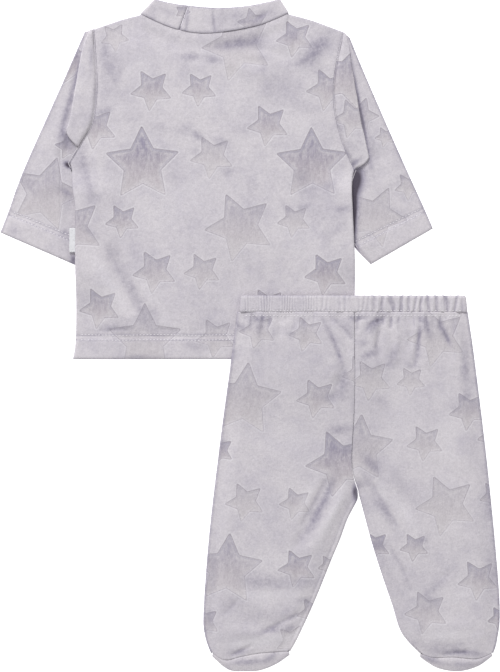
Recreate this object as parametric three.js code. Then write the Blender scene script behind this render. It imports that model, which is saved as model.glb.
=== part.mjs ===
// A footed baby sleepsuit in two pieces, laid flat with its back up: a top with a stand
// collar, and footed trousers whose waist lies over the hem of the top.
// Millimetres. +X runs across to the right, +Y up towards the collar, +Z up from the
// surface. The origin is on the surface, in the middle of the set.

import * as THREE from "three";

// Driving sizes.
const CLOTH = 1.4; // velour, one wall
const BAND = 2.2; // doubled cloth of the collar and the waistband
const SEAM_GAP = 0.3; // between two pieces that are sewn together
const FOLD_ROOM = 0.8; // air between two layers beside a folded edge
const FOLD_RADIUS = (CLOTH + FOLD_ROOM) / 2; // of the wall's middle at a folded edge
const UPPER = CLOTH / 2 + 2 * FOLD_RADIUS; // height of the upper layer's middle
const TURNED_EDGE = 1.2; // radius where the back bends down to a side seam
const BODY_PUFF = 2.2; // how far the back rises over the front
const SLEEVE_PUFF = 1.7;
const LEG_PUFF = 2.4;
const HEM_DEPTH = 18; // turned hem of the top, and of each cuff
const HEM_EXTRA = 0.8; // added by the turned-in cloth
const SLEEVE_LIFT = 4.8; // the side of the body lies this high on a sleeve
const TOP_PRESSED = 5.1; // the trousers lie this high over the top
const TUCK_HEIGHT = 2.3; // of the fold that the lowered sleeve makes at the armhole
const WAIST_DEPTH = 13.5;
const BAND_WAVE = 0.75; // height of a gather in the waistband
const LABEL = { wide: 6.4, long: 22, thick: 1 };
const TOP_PLACE = [-31.95, -19.35]; // middle of the top's hem
const TROUSER_PLACE = [92.7, 35.55]; // middle of the waist's top edge

// Turns a header and its rows into objects with named columns.
function table(header, rows) {
  const names = header.split(" ");
  return rows.map((row) => Object.fromEntries(names.map((n, i) => [n, row[i]])));
}

// The top's outline, across from its centre line and up from its hem.
const LEFT_SIDE = table("across up", [
  [-126, 0],
  [-124.4, 15],
  [-125.2, 52],
  [-125.8, 86],
  [-125.6, 131],
  [-128, 151],
  [-130.3, 175],
]);
const LEFT_ARMHOLE = table("across up", [
  [-130.3, 175],
  [-118.8, 194],
  [-111, 207],
  [-107.2, 223],
  [-105.8, 250],
  [-108.9, 294.8],
]);
const RIGHT_SIDE = table("across up", [
  [126.9, 0],
  [125.6, 15],
  [126, 52],
  [125.9, 86],
  [124, 132],
  [123.3, 152],
  [125.1, 169],
]);
const RIGHT_ARMHOLE = table("across up", [
  [125.1, 169],
  [115.5, 190],
  [110.3, 207],
  [106.7, 227],
  [107.3, 254],
  [114.8, 292.5],
]);
const LEFT_SHOULDER = table("across up", [
  [-108.9, 294.8],
  [-83, 303.4],
  [-66.8, 307.5],
]);
const RIGHT_SHOULDER = table("across up", [
  [65.9, 308.3],
  [87.9, 302.3],
  [114.8, 292.5],
]);
const BACK_NECK = table("across up", [
  [-66.8, 307.5],
  [-37.4, 294.9],
  [-6.3, 290.5],
  [36.9, 297],
  [65.9, 308.3],
]);
const FRONT_NECK = table("across up", [
  [-66.8, 307.5],
  [-46, 281],
  [-0.5, 263],
  [45, 281],
  [65.9, 308.3],
]);
const BACK_COLLAR_TOP = table("across up", [
  [-54, 320.9],
  [-32.6, 316.4],
  [0, 313.4],
  [29, 315],
  [57.8, 320.9],
]);
const FRONT_COLLAR_TOP = table("across up", [
  [-54, 320.9],
  [-36, 300],
  [0, 286],
  [37, 300],
  [57.8, 320.9],
]);
const COLLAR_SEAM = 0.27; // share of the way across the back

// The sleeves, from the shoulder or the underarm to the cuff.
const LEFT_SLEEVE_OUTER = table("across up", [
  [-115.6, 292],
  [-120.4, 280],
  [-136.8, 244.4],
  [-171.5, 168.8],
  [-184.8, 133],
  [-192.1, 114.6],
]);
const LEFT_SLEEVE_INNER = table("across up", [
  [-131.4, 175],
  [-133.4, 168],
  [-133.6, 157],
  [-129, 143],
  [-124.5, 130],
  [-121.8, 112],
  [-122.6, 84],
]);
const RIGHT_SLEEVE_OUTER = table("across up", [
  [120.9, 288],
  [132.7, 259],
  [162.5, 190.4],
  [187.7, 134.6],
  [195.9, 116],
]);
const RIGHT_SLEEVE_INNER = table("across up", [
  [126.2, 169],
  [127.2, 163],
  [128.2, 153.5],
  [126, 143.5],
  [120.8, 130],
  [119.8, 113],
  [127, 98.6],
  [140.5, 84.8],
]);
// The sleeve is folded over itself beside the armhole. Its free edge lies this far from
// the armhole, by its share of the way from the shoulder to the underarm.
const TUCK_WIDTH = table("share left right", [
  [0, 3.4, 3.4],
  [0.1, 8.5, 7.5],
  [0.27, 16, 14],
  [0.42, 19.2, 19],
  [0.58, 22, 21],
  [0.73, 20, 20],
  [0.85, 14, 18],
  [1, 6.5, 8],
  [1.1, 8, 8],
  [2, 9, 9],
]);
const LEFT_SLEEVE = {
  outer: LEFT_SLEEVE_OUTER,
  inner: LEFT_SLEEVE_INNER,
  armhole: LEFT_ARMHOLE,
  tuck: "left",
};
const RIGHT_SLEEVE = {
  outer: RIGHT_SLEEVE_OUTER,
  inner: RIGHT_SLEEVE_INNER,
  armhole: RIGHT_ARMHOLE,
  tuck: "right",
};

// The legs, across from the middle of the waist and down from its top edge.
const LEG_TOP = WAIST_DEPTH + SEAM_GAP;
const CROTCH = 175;
const CENTRE_SEAM = table("across down", [
  [0.5, LEG_TOP],
  [0.6, 96],
  [-1.4, 150],
  [4.2, CROTCH],
]);
const LEFT_LEG_INNER = table("across down", [
  [4.2, CROTCH],
  [-2.3, 188],
  [-15.6, 213.5],
  [-34.9, 274.7],
  [-56.9, 319.7],
]);
const LEFT_LEG_OUTER = table("across down", [
  [-103.6, LEG_TOP],
  [-109.4, 64],
  [-117.9, 126.5],
  [-129.2, 213.5],
  [-134.4, 284],
  [-132, 306],
  [-126.5, 321],
]);
const RIGHT_LEG_INNER = table("across down", [
  [4.2, CROTCH],
  [17.4, 218],
  [35, 277.6],
  [44.5, 303],
  [59.6, 321.4],
]);
const RIGHT_LEG_OUTER = table("across down", [
  [102.4, LEG_TOP],
  [108.5, 56],
  [119.7, 148],
  [128.3, 235],
  [131.4, 285],
  [128.8, 310],
  [125.6, 321],
]);
const LEFT_FOOT_SEAM = table("across down", [
  [-126.5, 321],
  [-115.7, 327.4],
  [-101.3, 324.4],
  [-80.8, 320.9],
  [-56.9, 319.7],
]);
const RIGHT_FOOT_SEAM = table("across down", [
  [59.6, 321.4],
  [71.6, 325.2],
  [89.5, 324.9],
  [111, 326.4],
  [125.6, 321],
]);
const LEFT_FOOT_END = table("across down", [
  [-126.5, 323],
  [-111.1, 335.6],
  [-97, 337.1],
  [-83.7, 336.2],
  [-69.1, 330.3],
  [-56.9, 321.7],
]);
const RIGHT_FOOT_END = table("across down", [
  [59.6, 323.4],
  [67.1, 329.2],
  [78.3, 335],
  [95, 337.1],
  [111.9, 332.7],
  [125.6, 323],
]);
const LEFT_LEG = {
  inner: LEFT_LEG_INNER,
  outer: LEFT_LEG_OUTER,
  foot: LEFT_FOOT_SEAM,
  footEnd: LEFT_FOOT_END,
};
const RIGHT_LEG = {
  inner: RIGHT_LEG_INNER,
  outer: RIGHT_LEG_OUTER,
  foot: RIGHT_FOOT_SEAM,
  footEnd: RIGHT_FOOT_END,
};

// Main creases. Each is a soft ridge, or a trough where its height is negative, along a
// straight line, in the garment's own axes.
const TOP_CREASES = table("x1 y1 x2 y2 width height", [
  [-98, 96, -50, 16, 11, -1.1],
  [-112, 84, -74, 24, 12, 0.8],
  [-44, 92, -20, 26, 13, 0.6],
  [-22, 272, 40, 264, 8, -0.6],
  [-30, 283, 50, 252, 9, 0.9],
  [10, 288, 66, 270, 7, -0.9],
  [-96, 214, -104, 100, 9, -0.6],
  [96, 190, 108, 60, 9, -0.6],
  [60, 252, 84, 212, 14, -0.7],
]);
const TROUSER_CREASES = table("x1 y1 x2 y2 width height", [
  [-84, -16, -88, -46, 4.5, 0.9],
  [-66, -16, -66, -36, 4, -0.8],
  [-50, -16, -46, -40, 4.5, 0.8],
  [-32, -16, -16, -74, 6, 1.1],
  [-14, -16, -4, -52, 5, -0.9],
  [12, -18, 20, -66, 5.5, 1],
  [26, -16, 22, -54, 5, -1],
  [40, -16, 38, -58, 4.5, 1],
  [52, -16, 50, -46, 4.5, -0.9],
  [64, -16, 66, -62, 5, 0.9],
  [80, -16, 88, -56, 5.5, -0.9],
  [92, -16, 97, -44, 4.5, 0.8],
  [-6, -60, -22, -96, 8, -0.9],
  [6, -150, -30, -236, 10, 1.3],
  [-12, -146, -44, -214, 8, -1],
  [20, -140, 48, -196, 9, -0.9],
  [34, -150, 62, -230, 9, 0.9],
  [-118, -262, -70, -288, 12, 0.9],
  [-112, -300, -66, -306, 9, 1],
  [60, -298, 108, -296, 10, 1],
]);

const smooth = THREE.MathUtils.smoothstep;
const mix = THREE.MathUtils.lerp;

// A smooth edge of a cut piece through the rows of a table, read by its share of length.
// Rows that give "down" instead of "up" are measured down from the waist.
function edge(rows) {
  const points = rows.map((r) => new THREE.Vector2(r.across, "up" in r ? r.up : -r.down));
  const curve = new THREE.SplineCurve(points);
  return (share) => curve.getPointAt(THREE.MathUtils.clamp(share, 0, 1));
}

// The same edge as a run of straight steps, for a seam: the pieces on both of its sides
// have their corners on the ends of its steps, so that neither bulges over the other.
function seamEdge(rows, steps) {
  const smoothEdge = edge(rows);
  const corners = Array.from({ length: steps + 1 }, (_, i) => smoothEdge(i / steps));
  return (share) => {
    const at = THREE.MathUtils.clamp(share, 0, 1) * steps;
    const i = Math.min(Math.floor(at), steps - 1);
    return corners[i].clone().lerp(corners[i + 1], at - i);
  };
}

// Edges joined end to end; each takes the share of the whole that runs up to its stop.
function chain(parts, stops) {
  return (share) => {
    const i = Math.max(0, stops.findIndex((stop) => share <= stop));
    const start = i ? stops[i - 1] : 0;
    return parts[i]((share - start) / (stops[i] - start));
  };
}

// A cut piece between four edges: low and high run across, left and right run along.
function cutPiece(low, high, left, right) {
  const corner = (u, v) => (v ? high(u) : low(u));
  return (u, v) => {
    const p = low(u).multiplyScalar(1 - v).addScaledVector(high(u), v);
    p.addScaledVector(left(v), 1 - u).addScaledVector(right(v), u);
    for (const [a, b] of [[0, 0], [1, 0], [0, 1], [1, 1]])
      p.addScaledVector(corner(a, b), -(a ? u : 1 - u) * (b ? v : 1 - v));
    return p;
  };
}

// The height that a table of creases adds at a point.
function creaseHeight(rows, x, y) {
  let sum = 0;
  for (const r of rows) {
    const dx = r.x2 - r.x1;
    const dy = r.y2 - r.y1;
    const long = Math.hypot(dx, dy);
    const along = ((x - r.x1) * dx + (y - r.y1) * dy) / long;
    const aside = ((x - r.x1) * dy - (y - r.y1) * dx) / long;
    const ends = smooth(along, -r.width, r.width) * (1 - smooth(along, long - r.width, long + r.width));
    sum += r.height * ends * Math.exp(-((aside / r.width) ** 2) * 2);
  }
  return sum;
}

// A cloth wall from rows of points on its middle. Each point holds its place and how far
// the outer face stands off it; the inner face stands off by "inner" everywhere. Its "out"
// is the way to the outer face, where that isn't square to the rows. A ring is closed
// across its rows. Square ends and sides keep those edges upright. The triangles of a
// mirrored wall mirror those of its partner.
function clothWall(rows, inner, options = {}) {
  const { ring, squareEnds, squareSides, mirrored } = options;
  const tall = rows.length;
  const wide = rows[0].length;
  const at = (i, j) => rows[i][(j + wide) % wide].place;
  const faces = { outer: [], inner: [] };
  for (let i = 0; i < tall; i++)
    for (let j = 0; j < wide; j++) {
      const before = ring ? j - 1 : Math.max(j - 1, 0);
      const after = ring ? j + 1 : Math.min(j + 1, wide - 1);
      const across = at(i, after).clone().sub(at(i, before));
      const along = at(Math.min(i + 1, tall - 1), j).clone().sub(at(Math.max(i - 1, 0), j));
      if (squareEnds && (i === 0 || i === tall - 1)) along.z = 0;
      if (squareSides && (j === 0 || j === wide - 1)) across.z = 0;
      const out = rows[i][j].out ?? across.cross(along).normalize();
      faces.outer.push(at(i, j).clone().addScaledVector(out, rows[i][j].outer));
      faces.inner.push(at(i, j).clone().addScaledVector(out, -inner));
    }
  const points = [...faces.outer, ...faces.inner];
  const index = [];
  const quad = (a, b, c, d) => index.push(a, b, c, a, c, d);
  const face = mirrored ? (a, b, c, d) => quad(b, c, d, a) : quad;
  const id = (face, i, j) => face * tall * wide + i * wide + (j % wide);
  const spans = ring ? wide : wide - 1;
  for (let i = 0; i < tall - 1; i++)
    for (let j = 0; j < spans; j++) {
      face(id(0, i, j), id(0, i, j + 1), id(0, i + 1, j + 1), id(0, i + 1, j));
      face(id(1, i, j), id(1, i + 1, j), id(1, i + 1, j + 1), id(1, i, j + 1));
    }
  for (let j = 0; j < spans; j++) {
    quad(id(0, 0, j), id(1, 0, j), id(1, 0, j + 1), id(0, 0, j + 1));
    quad(id(0, tall - 1, j), id(0, tall - 1, j + 1), id(1, tall - 1, j + 1), id(1, tall - 1, j));
  }
  if (!ring)
    for (let i = 0; i < tall - 1; i++) {
      quad(id(0, i, 0), id(0, i + 1, 0), id(1, i + 1, 0), id(1, i, 0));
      quad(id(0, i, wide - 1), id(1, i, wide - 1), id(1, i + 1, wide - 1), id(0, i + 1, wide - 1));
    }
  const made = new THREE.BufferGeometry();
  made.setAttribute("position", new THREE.Float32BufferAttribute(points.flatMap((p) => p.toArray()), 3));
  made.setIndex(index);
  return made;
}

const point = (x, y, z, outer = CLOTH / 2, out) => ({ place: new THREE.Vector3(x, y, z), outer, out });

// What the pieces lie on.

// The height of the body's underside, where its sides lie on the sleeves.
function bodyLift(x, y) {
  const left = smooth(y, 55, 79) * (1 - smooth(y, 146, 170)) * (1 - smooth(x + 126, 6, 24));
  const right = smooth(y, 71, 95) * (1 - smooth(y, 146, 168)) * (1 - smooth(125 - x, 6, 24));
  return SLEEVE_LIFT * Math.max(left, right);
}

// The height of the trousers' underside, where they lie over the corner of the top.
function trouserLift(x, y) {
  const side = TOP_PLACE[0] + 127 - TROUSER_PLACE[0];
  const hem = TOP_PLACE[1] - TROUSER_PLACE[1];
  return TOP_PRESSED * (1 - smooth(x, side + 1.5, side + 22)) * smooth(y, hem - 22, hem - 1.5);
}

// How far the trousers press the top flat: 1 right under them.
function pressed(x, y) {
  const waist = TROUSER_PLACE[1] - TOP_PLACE[1];
  const side = TROUSER_PLACE[0] - 104 - TOP_PLACE[0];
  return smooth(x, side - 16, side - 4) * (1 - smooth(y, waist + 2, waist + 16));
}

// The body of the top.

const UNDERARM = 0.59; // share of the way up the side at which the armhole starts
const NECK_START = 0.19; // shares of the way across at which the neck starts and ends
const NECK_END = 0.78;
const ARMHOLE_STEPS = 10;
const NECK_STEPS = 8;

const leftEdge = chain([edge(LEFT_SIDE), seamEdge(LEFT_ARMHOLE, ARMHOLE_STEPS)], [UNDERARM, 1]);
const rightEdge = chain([edge(RIGHT_SIDE), seamEdge(RIGHT_ARMHOLE, ARMHOLE_STEPS)], [UNDERARM, 1]);

function hemLine(u) {
  return new THREE.Vector2(mix(LEFT_SIDE[0].across, RIGHT_SIDE[0].across, u), 0);
}

function bodyPlan(neck) {
  const across = [edge(LEFT_SHOULDER), seamEdge(neck, NECK_STEPS), edge(RIGHT_SHOULDER)];
  return cutPiece(hemLine, chain(across, [NECK_START, NECK_END, 1]), leftEdge, rightEdge);
}

// How far the upper layers stand up along an armhole, from 0 at the underarm to 0 at the
// shoulder.
const armholePuff = (share) => 1.2 * Math.sin(Math.PI * THREE.MathUtils.clamp(share, 0, 1));

const steps = (count, from = 0, to = 1) =>
  Array.from({ length: count + 1 }, (_, i) => mix(from, to, i / count));
const height = (up) => (up / 175) * UNDERARM;

// Shares across the body: set distances from each side, in millimetres, and one column for
// each step of the neck between them.
function acrossBody(width, insets) {
  const near = insets.map((d) => d / width);
  return [...near, ...steps(NECK_STEPS, NECK_START, NECK_END), ...near.map((d) => 1 - d).reverse()];
}

function topBack() {
  const plan = bodyPlan(BACK_NECK);
  const turns = [Math.PI / 2, Math.PI / 4, 0];
  const drops = turns.map((a) => TURNED_EDGE * (1 - Math.cos(a)));
  const turnInsets = turns.map((a) => CLOTH / 2 + TURNED_EDGE * (1 - Math.sin(a)));
  const low = [0, HEM_DEPTH - 1.2, HEM_DEPTH, 36, 55, 63, 71, 79, 87, 95, 112, 130, 146, 152, 158];
  const beside = steps(ARMHOLE_STEPS - 1, UNDERARM, mix(UNDERARM, 1, 0.9));
  const along = [...[...low, 163, 169].map(height), ...beside];
  const topInsets = [5, ...[...turnInsets].reverse()].map((d) => d / 300);
  const rows = [...along, ...topInsets.map((d) => 1 - d)].map((v) => {
    const isSide = 1 - smooth(v, height(169), UNDERARM);
    const width = rightEdge(v).x - leftEdge(v).x;
    const sideInsets = turnInsets.map((d, i) => mix([0, 0.8, 1.6][i], d, isSide));
    const across = acrossBody(width, [...sideInsets, 6, 11, 17, 24, 35]);
    return across.map((u, j) => {
      const p = plan(u, v);
      const fromEdge = Math.min(j, across.length - 1 - j);
      const onShoulder = u < NECK_START - 1e-6 || u > NECK_END + 1e-6;
      const topStep = topInsets.findIndex((d) => Math.abs(1 - d - v) < 1e-9);
      const topDrop = topStep > 0 && onShoulder ? [...drops].reverse()[topStep - 1] : 0;
      const sideDrop = fromEdge < 3 ? isSide * drops[fromEdge] : 0;
      const under = pressed(p.x, p.y);
      const nearTop = 1 - smooth(v, 0.9, 0.985);
      const inside = smooth(Math.min(u, 1 - u), 0.006, 0.13);
      const neckRise = onShoulder ? 0 : 0.6 * (1 - nearTop) * smooth(v, 0.95, 0.985);
      const edgeRise = armholePuff((v - UNDERARM) / (1 - UNDERARM)) * nearTop;
      const rise = mix(edgeRise, mix(BODY_PUFF, 0.2, under) * nearTop, inside) + neckRise;
      const crease = creaseHeight(TOP_CREASES, p.x, p.y) * nearTop * inside * (1 - under);
      const z = UPPER + bodyLift(p.x, p.y) + rise - Math.max(topDrop, sideDrop);
      const hem = p.y < HEM_DEPTH - 0.6 ? HEM_EXTRA * (fromEdge < 2 ? 0 : 1) : 0;
      const slope = j < across.length / 2 ? -0.29 : 0.3;
      let out;
      if (fromEdge === 0 && isSide > 0.5) out = new THREE.Vector3(Math.sign(slope), 0, 0);
      if (v > 0.997 && onShoulder) out = new THREE.Vector3(slope, 0.95, 0).normalize();
      return point(p.x, p.y, z + Math.min(crease, 0), CLOTH / 2 + hem + Math.max(crease, 0), out);
    });
  });
  return clothWall(rows, CLOTH / 2);
}

function topFront() {
  const plan = bodyPlan(FRONT_NECK);
  const along = [0, 36, 55, 63, 71, 79, 87, 95, 146, 152, 158, 163, 169].map(height);
  const rows = [...along, ...steps(ARMHOLE_STEPS, UNDERARM, 1)].map((v) => {
    const width = rightEdge(v).x - leftEdge(v).x;
    return acrossBody(width, [0, 6, 11, 17, 24]).map((u) => {
      const p = plan(u, v);
      return point(p.x, p.y, CLOTH / 2 + bodyLift(p.x, p.y));
    });
  });
  return clothWall(rows, CLOTH / 2);
}

// A sleeve or a leg: a flattened tube of cloth cut from one piece. Each row runs from the
// inner line over the upper layer, round the outer fold and back through the lower layer.
// Where a row is parted, as below the underarm or the crotch, its upper layer bends down
// to a seam in the inner edge; before that both layers end at the armhole or centre seam.
function limb({ away, lines, upper, lower, form }) {
  const top = 2 * FOLD_RADIUS;
  const inward = ["inner", "outer"].map((edgeName, side) =>
    lines.map((line, i) => {
      const next = lines[Math.min(i + 1, lines.length - 1)][edgeName];
      const along = next.clone().sub(lines[Math.max(i - 1, 0)][edgeName]);
      const turn = side ? -away : away;
      const square = new THREE.Vector2(-along.y * turn, along.x * turn).normalize();
      if (i > 0) return square;
      // The first row runs aslant, so its folds lie along it.
      const across = (side ? lines[0].inner : lines[0].outer).clone().sub(lines[0][edgeName]).normalize();
      return across.divideScalar(across.dot(square));
    }),
  );
  const rows = lines.map((line, i) => {
    const width = line.inner.distanceTo(line.outer);
    const reach = width - FOLD_RADIUS * inward[1][i].length();
    const bend = [Math.PI / 2, Math.PI / 4, 0].map((a, k) => ({
      off: line.parted ? CLOTH / 2 + TURNED_EDGE * (1 - Math.sin(a)) : line.gap + 0.8 * k,
      h: top - (line.parted ? TURNED_EDGE * (1 - Math.cos(a)) : 0),
      isUpper: true,
      turned: line.parted && k === 0,
    }));
    const fold = [1, 0.5, 0, -0.5, -1].map((k) => {
      const angle = (k * Math.PI) / 2;
      const back = FOLD_RADIUS * (1 - Math.cos(angle));
      return { back, h: FOLD_RADIUS * (1 + Math.sin(angle)), isUpper: k === 1 };
    });
    const columns = [
      ...bend,
      ...upper(line, reach).map((off) => ({ off, h: top, isUpper: true, inside: true })),
      ...fold,
      ...lower(line, reach).map((off) => ({ off, h: 0, inside: true })),
      { off: line.parted ? 0 : line.gap, h: 0 },
    ];
    return columns.map((column) => {
      const fromInner = column.off ?? width - column.back;
      const fromOuter = column.back ?? width - column.off;
      const share = fromInner / width;
      let p;
      if (column.inside) p = (column.isUpper ? line.upperAt : line.lowerAt)(share);
      else if (column.back === undefined) p = line.inner.clone().addScaledVector(inward[0][i], column.off);
      else p = line.outer.clone().addScaledVector(inward[1][i], column.back);
      const { base, rise, outer } = form({ line, p, share, fromInner, fromOuter });
      const z = CLOTH / 2 + base + column.h + (column.isUpper ? rise : 0);
      const out = column.turned ? new THREE.Vector3(-inward[0][i].x, -inward[0][i].y, 0) : undefined;
      return point(p.x, p.y, z, CLOTH / 2 + (column.isUpper ? outer : 0), out);
    });
  });
  const mirrored = away > 0;
  if (mirrored) rows.forEach((row) => row.reverse());
  return clothWall(rows, CLOTH / 2, { squareEnds: true, mirrored });
}

// Reads a column of a table at a share, straight between its rows.
function readAt(rows, name, share) {
  const i = Math.max(1, rows.findIndex((r) => r.share >= share));
  const [a, b] = [rows[i - 1], rows[i]];
  return mix(a[name], b[name], (share - a.share) / (b.share - a.share));
}

function sleeve(side) {
  const away = Math.sign(side.outer[0].across);
  const armhole = seamEdge(side.armhole, ARMHOLE_STEPS);
  const outer = edge(side.outer);
  const inner = edge(side.inner);
  const below = inner(1).distanceTo(inner(0));
  const underarm = 127 / (127 + below);
  const hemStops = [HEM_DEPTH + 0.4, HEM_DEPTH - 0.8, 0].map((d) => 1 - d / 196);
  const parted = [0.045, 0.13, 0.26, 0.44, 0.62].map((k) => mix(underarm, hemStops[0], k));
  const places = [...steps(ARMHOLE_STEPS, 0, underarm), ...parted, ...hemStops];
  const lines = places.map((v) => {
    const isParted = v > underarm + 1e-6;
    const down = v / underarm;
    const beside = away * mix(SEAM_GAP, 1.1, Math.max(0, down * ARMHOLE_STEPS - 9));
    const open = () => armhole(1 - down).add(new THREE.Vector2(beside, 0));
    const from = isParted ? inner((v - underarm) / (1 - underarm)) : open();
    const to = outer(v);
    const at = (share) => from.clone().lerp(to, share);
    return { v, down, parted: isParted, gap: 0, inner: from, outer: to, upperAt: at, lowerAt: at };
  });
  return limb({
    away,
    lines,
    upper: ({ down }, reach) => {
      const tuck = readAt(TUCK_WIDTH, side.tuck, down);
      const inTuck = [0.4, 0.85, 1].map((k) => mix(2, tuck, k));
      return [...inTuck, ...steps(5, tuck + 0.6, reach).slice(0, -1)];
    },
    lower: (_, reach) => steps(5, reach, 0.5).slice(1, -1),
    form: ({ line, fromInner, fromOuter }) => {
      const { v, down } = line;
      const tuck = readAt(TUCK_WIDTH, side.tuck, down);
      const seamRise = line.parted ? 0 : armholePuff(1 - down);
      const full = SLEEVE_PUFF * smooth(fromOuter, 1.1, 22);
      const rise = mix(seamRise, full, smooth(fromInner, 1.8, 20)) * smooth(fromOuter, 1.1, 5);
      const folded = line.parted || fromInner > tuck + 0.1 ? 0 : smooth(fromInner, 0, tuck * 0.7);
      const ends = smooth(down, 0, 0.2) * (1 - smooth(down, 0.93, 1));
      const hem = v > hemStops[0] + 1e-6 ? smooth(Math.min(fromInner, fromOuter), 1.2, 4) : 0;
      return { base: 0, rise, outer: TUCK_HEIGHT * folded * ends + HEM_EXTRA * hem };
    },
  });
}

// The collar is a doubled strip. It starts at its seam on the back, runs round the left
// fold, along the front under the back, and round the right fold to the seam again.
function collar() {
  const back = { low: seamEdge(BACK_NECK, NECK_STEPS), high: edge(BACK_COLLAR_TOP) };
  const front = { low: seamEdge(FRONT_NECK, NECK_STEPS), high: edge(FRONT_COLLAR_TOP) };
  const radius = (BAND + 0.9) / 2;
  const raised = BAND / 2 + 2 * radius;
  const gap = SEAM_GAP / 2 / 110;
  const fold = radius / 105;
  const turn = (side) => (a) => {
    const share = fold * (1 - Math.sin(a * Math.PI));
    const z = BAND / 2 + radius * (1 + Math.cos(a * Math.PI));
    return { on: back, share: side ? 1 - share : share, z, turn: a };
  };
  const onBack = (share) => ({ on: back, share, z: raised });
  const neckStops = steps(NECK_STEPS).slice(1, -1);
  const path = [
    ...[COLLAR_SEAM - gap, 0.25, 0.125, fold].map(onBack),
    ...[0.25, 0.5, 0.75].map(turn(0)),
    ...[fold, ...neckStops, 1 - fold].map((share) => ({ on: front, share, z: BAND / 2 })),
    ...[0.75, 0.5, 0.25].map(turn(1)),
    ...[1 - fold, ...neckStops.slice(2).reverse(), COLLAR_SEAM + gap].map(onBack),
  ];
  const rows = [0, 0.08, 0.5, 0.88, 1].map((v) =>
    path.map(({ on, share, z, turn: turned }) => {
      const place = (which) => {
        const low = which.low(share);
        const up = which.high(share).sub(low);
        return low.addScaledVector(up, (0.4 + v * (up.length() - 0.4)) / up.length());
      };
      const p = turned === undefined ? place(on) : place(back).lerp(place(front), turned);
      return point(p.x, p.y, z, BAND / 2);
    }),
  );
  return clothWall(rows, BAND / 2);
}

function sideLabel() {
  const low = 94.5;
  const shape = new THREE.BoxGeometry(LABEL.wide, LABEL.long, LABEL.thick, 3, 1, 1);
  const across = LEFT_SIDE[3].across - 1.1 - LABEL.wide / 2;
  shape.translate(across, low + LABEL.long / 2, SLEEVE_LIFT + CLOTH - 0.2);
  return shape;
}

// The footed trousers.

const CROTCH_SHARE = 0.52; // share of the way down the inner edge at which the legs part
const FOOT_STEPS = 12;

function leg(side) {
  const away = side === LEFT_LEG ? -1 : 1;
  const inner = chain([edge(CENTRE_SEAM), edge(side.inner)], [CROTCH_SHARE, 1]);
  const outer = edge(side.outer);
  const waist = (w) => inner(0).lerp(outer(0), w);
  const ankle = (w) => inner(1).lerp(outer(1), w);
  const foot = seamEdge(side.foot, FOOT_STEPS);
  const upperPlan = cutPiece(waist, away < 0 ? (w) => foot(1 - w) : foot, inner, outer);
  const lowerPlan = cutPiece(waist, ankle, inner, outer);
  const before = [0, 0.03, 0.065, 0.105, 0.145, 0.19, 0.24, 0.31, 0.38, 0.45];
  const after = [0.58, 0.65, 0.73, 0.81, 0.88, 0.94, 0.98, 1];
  const places = [...before, CROTCH_SHARE - 0.004, CROTCH_SHARE + 0.014, ...after];
  const lines = places.map((v) => ({
    v,
    parted: v > CROTCH_SHARE,
    gap: SEAM_GAP / 2 + 0.05 + 0.15 * smooth(v, 0.46, CROTCH_SHARE - 0.004),
    inner: inner(v),
    outer: outer(v),
    upperAt: (w) => upperPlan(w, v),
    lowerAt: (w) => lowerPlan(w, v),
  }));
  return limb({
    away,
    lines,
    upper: (_, reach) => steps(FOOT_STEPS, 0, reach + FOLD_RADIUS).slice(1, -1),
    lower: (_, reach) => steps(5, reach + FOLD_RADIUS, 0).slice(1, -1),
    form: ({ line, p, fromInner, fromOuter }) => {
      const { v } = line;
      const nearInner = mix(1, smooth(fromInner, 1.9, 18), smooth(v, CROTCH_SHARE - 0.06, CROTCH_SHARE));
      const inside = nearInner * smooth(fromOuter, 1.5, 18);
      const ends = mix(0.5, 1, smooth(v, 0, 0.06)) * mix(1, 0.25, smooth(v, 0.92, 1));
      const base = trouserLift(p.x, p.y);
      const crease = creaseHeight(TROUSER_CREASES, p.x, p.y) * inside;
      const puff = LEG_PUFF * inside * ends * mix(1, 0.7, base / TOP_PRESSED);
      return { base, rise: puff + Math.min(crease, 0), outer: Math.max(crease, 0) };
    },
  });
}

// The waistband is a ring of doubled cloth, gathered into uneven waves on the upper side.
function waistband() {
  const waves = 38;
  const radius = (BAND + 0.5) / 2;
  const fold = radius / 200.8;
  const turn = (a) => ({
    out: fold * Math.sin(a * Math.PI),
    h: radius * (1 + Math.cos(a * Math.PI)),
    wave: 0,
  });
  const upper = [];
  for (let i = 0; i < waves; i++) {
    // A gather is widest where its waves are far apart, on the right, and finest on the left.
    const start = i / waves;
    const uneven = (s) => s + (0.02 * Math.sin(s * 9.3) + 0.008 * Math.sin(s * 41)) * Math.sin(s * Math.PI);
    const depth = BAND_WAVE * (0.62 + 0.26 * Math.sin(i * 1.9) + 0.12 * Math.sin(i * 0.53));
    upper.push({ s: uneven(start), wave: -depth * 0.6 });
    upper.push({ s: uneven(start + 0.32 / waves), wave: depth });
    upper.push({ s: uneven(start + 0.68 / waves), wave: depth * 0.9 });
  }
  upper.push({ s: 1, wave: -0.2 });
  const path = [
    ...upper.map(({ s, wave }) => ({ share: mix(fold, 1 - fold, s), h: 2 * radius, wave })),
    ...[0.25, 0.5, 0.75].map(turn).map((t) => ({ ...t, share: 1 - fold + t.out })),
    ...steps(18, 1 - fold, fold).map((share) => ({ share, h: 0, wave: 0 })),
    ...[0.75, 0.5, 0.25].map(turn).map((t) => ({ ...t, share: fold - t.out })),
  ];
  const rows = [1, 0.5, 0].map((v) =>
    path.map(({ share, h, wave }) => {
      const x = mix(mix(-100.4, 100.4, share), mix(-101.6, 101.9, share), v);
      const y = -v * WAIST_DEPTH;
      const z = BAND / 2 + trouserLift(x, y) + h;
      return point(x, y, z, BAND / 2 + wave * smooth(Math.min(share, 1 - share), fold, 0.025));
    }),
  );
  return clothWall(rows, BAND / 2, { ring: true });
}

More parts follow.
